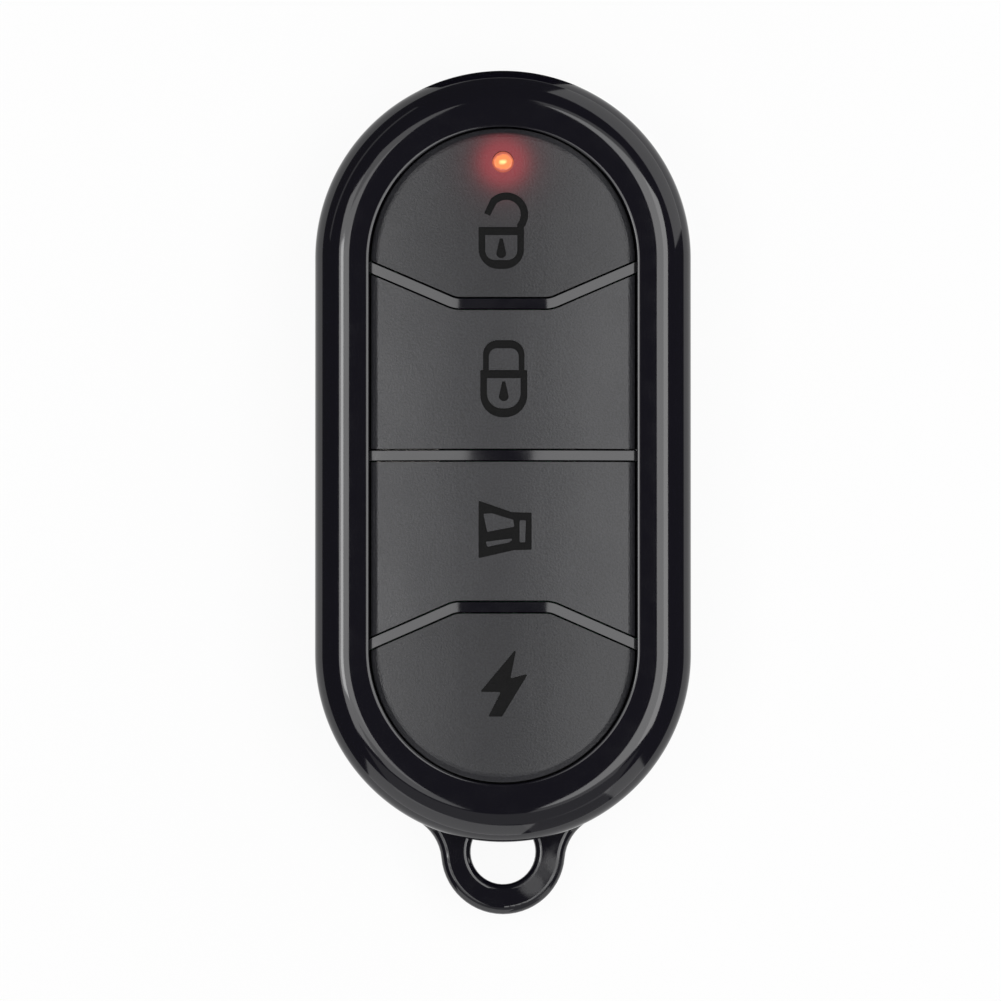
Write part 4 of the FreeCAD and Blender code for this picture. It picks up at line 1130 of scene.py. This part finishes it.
def screw_mesh():
    """Pan-head screw with a cross recess in its lower face."""
    head = [(0, SCREW_HEAD_BOTTOM)]
    rounded = quarter_points(
        (SCREW_HEAD_RADIUS - SCREW_HEAD_ROUND, SCREW_HEAD_BOTTOM), (SCREW_HEAD_RADIUS, SCREW_HEAD_BOTTOM),
        (SCREW_HEAD_RADIUS, SCREW_HEAD_BOTTOM + SCREW_HEAD_ROUND), SCREW_ROUND_STEPS,
    )
    head += [tuple(point) for point in rounded]
    head += [
        (SCREW_HEAD_RADIUS, SCREW_HEAD_TOP), (SCREW_SHANK_RADIUS, SCREW_HEAD_TOP),
        (SCREW_SHANK_RADIUS, SCREW_TIP - SCREW_POINT), (SCREW_SHANK_RADIUS / 2, SCREW_TIP), (0, SCREW_TIP),
    ]
    body = show("screw_body", turned_mesh("screw", in_metres(head), SCREW_STEPS))
    span, half, depth = RECESS_SPAN * MM, RECESS_HALF_WIDTH * MM, SCREW_HEAD_BOTTOM * MM + RECESS_DEPTH * MM
    for size_x, size_y in ((span, half), (half, span)):
        cutter = show("recess", box_mesh("recess", (-size_x, -size_y, 0), (size_x, size_y, depth)))
        cut = body.modifiers.new("Recess", "BOOLEAN")
        cut.operation = "DIFFERENCE"
        cut.solver = "EXACT"
        cut.object = cutter
        body.data = applied(body, cut)
        bpy.data.objects.remove(cutter)
    mesh = body.data
    bpy.data.objects.remove(body)
    return mesh


class REMOTE_OT_screws(bpy.types.Operator):
    """Sets the four case screws in the back"""

    bl_idname = "remote.screws"
    bl_label = "Case screws"

    def execute(self, context):
        case = context.scene.remote_case
        steel = bpy.data.materials["screw_steel"]
        made = on_screw_places("screws", screw_mesh(), case, steel, 2 * math.pi)
        piece = show("screws", joined_mesh("screws", [made], steel))
        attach(piece, body_of("case_screws"))
        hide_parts("case_screws")
        return {"FINISHED"}


def cap_points(radius, height, rings):
    """Outline of a spherical cap over Z = 0, from its edge to its top, as (radius, level)."""
    ball = (radius ** 2 + height ** 2) / (2 * height)
    edge = math.asin(radius / ball)
    points = []
    for ring in range(rings + 1):
        angle = edge * (1 - ring / rings)
        points.append((ball * math.sin(angle), ball * math.cos(angle) - ball + height))
    return points


class REMOTE_OT_domes(bpy.types.Operator):
    """Makes the switches' snap domes"""

    bl_idname = "remote.domes"
    bl_label = "Snap domes"

    def execute(self, context):
        metal = bpy.data.materials["spring_metal"]
        thickness = DOME_THICKNESS * MM
        for name in KEY_NAMES:
            node = name + "_switch_dome"
            low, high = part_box(node)
            radius, height = (high.x - low.x) / 2, high.z - low.z
            foot = Vector(((low.x + high.x) / 2, (low.y + high.y) / 2, low.z))
            inner = cap_points(radius - thickness, height - thickness, DOME_RINGS)
            outline = inner[::-1] + cap_points(radius, height, DOME_RINGS)
            mesh = turned_mesh(name + "_dome", outline, DOME_STEPS)
            mesh.transform(Matrix.Translation(foot))
            piece = show(name + "_dome", joined_mesh(name + "_dome", [mesh], metal))
            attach(piece, body_of(node))
            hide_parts(node)
            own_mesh(piece)
        return {"FINISHED"}


# Stage

# Overhead light boxes, as the angles of their sides from straight above along X, how far they reach to
# both sides along Y as a share of the height of their plane, and radiance
LIGHT_BOXES = {
    "left_box": (-22.3, -5.4, 0.42, 1.4),
    "left_box_middle": (-22.3, -5.4, 0.2, 1.0),
    "left_box_heart": (-22.3, -5.4, 0.1, 0.5),
    "left_box_far": (-34.3, -22.3, 0.35, 2.4),
    "left_strip": (-29.5, -22.3, 0.13, 5.6),
    "left_strip_edge": (-34.3, -29.5, 0.13, 1.1),
    "right_box": (4.6, 25, 0.36, 2.2),
    "right_box_wide": (4.6, 25, 0.5, 0.8),
    "right_strip": (25, 37, 0.36, 4.2),
}
# Standing light panels, as azimuths clockwise from +Y, elevations, and radiance
LIGHT_PANELS = {
    "lower_left_panel": (172, 230, 0, 36, 1.25),
    "lower_haze": (143, 172, 0, 36, 0.33),
    "lower_high_haze": (135, 226, 36, 65, 0.33),
    "lower_right_panel": (128, 143, 0, 36, 1.25),
    "upper_right_panel": (17, 80, 0, 37, 1.25),
    "upper_left_strip": (-80, -28, 27, 31, 0.5),
}
BOX_STAGGER = 0.01
PANEL_DISTANCE = 1.0
WHITE = (1, 1, 1)
TABLE_WHITE = (0.9, 0.9, 0.9)
CARD_BLACK = (0.02, 0.02, 0.02)
FLOOR_SIZE = 8.0
FLOOR_GAP = 0.00005
# Share of the table's real light near the object, and the distances between which it ends
SHADOW_SHARE = 0.07
SHADOW_REACH = (0.05, 0.16)
# Brightness of what hangs overhead, and the heights over the horizon between which the white ends
OVERHEAD_GREY = 0.1
HORIZON = (0.005, 0.04)
CAMERA_REACH = 50
# Corners of the black card, in millimetres
DARK_CARD = ((-3, 18), (3, 18), (42, 160), (539, 2000), (-304, 2000), (-50, 160))


def mirrored(nodes, rays):
    return nodes.maths("MAXIMUM", rays["Is Glossy Ray"], rays["Is Transmission Ray"])


def floor_material():
    """White table that keeps the object's shadow near the object."""
    material, nodes = new_material("white_table")
    lit = nodes.add("ShaderNodeBsdfDiffuse", {"Color": TABLE_WHITE})
    white = nodes.add("ShaderNodeEmission", {"Color": WHITE, "Strength": 1.0})
    rays = nodes.add("ShaderNodeLightPath").outputs
    seen = nodes.maths("MAXIMUM", rays["Is Camera Ray"], mirrored(nodes, rays))
    near = nodes.spread(nodes.length(nodes.place()), *SHADOW_REACH, SHADOW_SHARE, 0.0)
    share = nodes.times(seen, nodes.minus(1.0, near))
    nodes.add("ShaderNodeOutputMaterial", {"Surface": nodes.blend(share, lit, white)})
    return material


def card_material():
    """Black card beyond the far end, which keeps the white table out of the far end's gloss."""
    material, nodes = new_material("black_card")
    felt = nodes.add("ShaderNodeBsdfDiffuse", {"Color": CARD_BLACK})
    nodes.add("ShaderNodeOutputMaterial", {"Surface": felt.outputs[0]})
    return material


def build_world():
    """White behind the object, with a dark studio overhead for what the object mirrors."""
    world = bpy.data.worlds.new("studio")
    bpy.context.scene.world = world
    nodes = emptied(world)
    dark = nodes.add("ShaderNodeBackground", {"Color": WHITE, "Strength": OVERHEAD_GREY})
    white = nodes.add("ShaderNodeBackground", {"Color": WHITE, "Strength": 1.0})
    rays = nodes.add("ShaderNodeLightPath").outputs
    around = nodes.add("ShaderNodeTexCoord").outputs["Generated"]
    horizon = nodes.spread(nodes.axes(around)["Z"], *HORIZON, 1.0, 0.0)
    mirrored_white = nodes.times(mirrored(nodes, rays), horizon)
    share = nodes.maths("MAXIMUM", rays["Is Camera Ray"], mirrored_white)
    nodes.add("ShaderNodeOutputWorld", {"Surface": nodes.blend(share, dark, white)})


def flat_piece(name, corners, level, material):
    """One flat face."""
    build = bmesh.new()
    build.faces.new([build.verts.new((x, y, level)) for x, y in corners])
    piece = show(name, mesh_of(build, name))
    piece.data.materials.append(material)
    return piece


def add_light(name, place, rotation, width, length, radiance):
    """Soft box that the camera doesn't see."""
    light = bpy.data.lights.new(name, "AREA")
    light.shape = "RECTANGLE"
    light.size = width
    light.size_y = length
    light.energy = math.pi * width * length * radiance
    lamp = show(name, light)
    lamp.location = place
    lamp.rotation_euler = rotation
    lamp.visible_camera = False


class REMOTE_OT_stage(bpy.types.Operator):
    """Lays the white table, hangs the light boxes and aims the camera"""

    bl_idname = "remote.stage"
    bl_label = "Table, lights and camera"

    def execute(self, context):
        stage = context.scene.remote_stage
        half = FLOOR_SIZE / 2
        corners = ((-half, -half), (half, -half), (half, half), (-half, half))
        floor = flat_piece("table", corners, -FLOOR_GAP, floor_material())
        card = flat_piece("dark_card", in_metres(DARK_CARD), FLOOR_GAP, card_material())
        card.visible_camera = False
        card.visible_diffuse = False
        card.visible_shadow = False
        build_world()
        for index, (name, (left, right, reach, radiance)) in enumerate(LIGHT_BOXES.items()):
            height = stage.light_height + index * BOX_STAGGER
            left_x = math.tan(math.radians(left)) * height
            right_x = math.tan(math.radians(right)) * height
            middle = Vector(((left_x + right_x) / 2, 0, height))
            add_light(name, middle, (0, 0, 0), right_x - left_x, 2 * reach * height, radiance)
        for name, (first, last, low, high, radiance) in LIGHT_PANELS.items():
            azimuth = math.radians((first + last) / 2)
            elevation = math.radians((low + high) / 2)
            level = Vector((math.sin(azimuth), math.cos(azimuth), 0)) * math.cos(elevation)
            middle = (level + Vector((0, 0, math.sin(elevation)))) * PANEL_DISTANCE
            width = 2 * PANEL_DISTANCE * math.cos(elevation) * math.tan(math.radians(last - first) / 2)
            tall = 2 * PANEL_DISTANCE * math.tan(math.radians(high - low) / 2)
            turn = (-middle).to_track_quat("-Z", "Y").to_euler()
            add_light(name, middle, turn, width, tall, radiance)
        camera = bpy.data.cameras.new("camera")
        camera.lens = stage.lens
        camera.clip_end = CAMERA_REACH
        holder = show("camera", camera)
        distance = stage.frame_width * camera.lens / camera.sensor_width
        right, far = stage.lean
        holder.rotation_euler = (-far, right, 0)
        target = Vector((stage.aim[0], stage.aim[1], stage.frame_level))
        holder.location = target + holder.rotation_euler.to_matrix() @ Vector((0, 0, distance))
        scene = bpy.context.scene
        scene.camera = holder
        scene.view_settings.view_transform = "Standard"
        return {"FINISHED"}


class REMOTE_PT_panel(bpy.types.Panel):
    bl_idname = "REMOTE_PT_panel"
    bl_label = "Remote"
    bl_space_type = "VIEW_3D"
    bl_region_type = "UI"
    bl_category = "Remote"

    def draw(self, context):
        for operator in OPERATORS:
            self.layout.operator(operator.bl_idname)
        for name, kind in SETTINGS.items():
            box = self.layout.box()
            values = getattr(context.scene, name)
            for field in kind.__annotations__:
                box.prop(values, field)


SETTINGS = {
    "remote_case": RemoteCaseSettings,
    "remote_keys": RemoteKeySettings,
    "remote_lamp": RemoteLampSettings,
    "remote_stage": RemoteStageSettings,
}
OPERATORS = (
    REMOTE_OT_front_case,
    REMOTE_OT_rear_case,
    REMOTE_OT_keys,
    REMOTE_OT_lamp,
    REMOTE_OT_inside,
    REMOTE_OT_screws,
    REMOTE_OT_domes,
    REMOTE_OT_stage,
)


def register():
    for kind in (*SETTINGS.values(), *OPERATORS, REMOTE_PT_panel):
        bpy.utils.register_class(kind)
    for name, kind in SETTINGS.items():
        setattr(bpy.types.Scene, name, bpy.props.PointerProperty(type=kind))


def unregister():
    for name in SETTINGS:
        delattr(bpy.types.Scene, name)
    for kind in (REMOTE_PT_panel, *OPERATORS[::-1], *SETTINGS.values()):
        bpy.utils.unregister_class(kind)


def main():
    register()
    bpy.ops.remote.front_case()
    bpy.ops.remote.rear_case()
    bpy.ops.remote.keys()
    bpy.ops.remote.lamp()
    bpy.ops.remote.inside()
    bpy.ops.remote.screws()
    bpy.ops.remote.domes()
    bpy.ops.remote.stage()


if __name__ == "__main__":
    main()
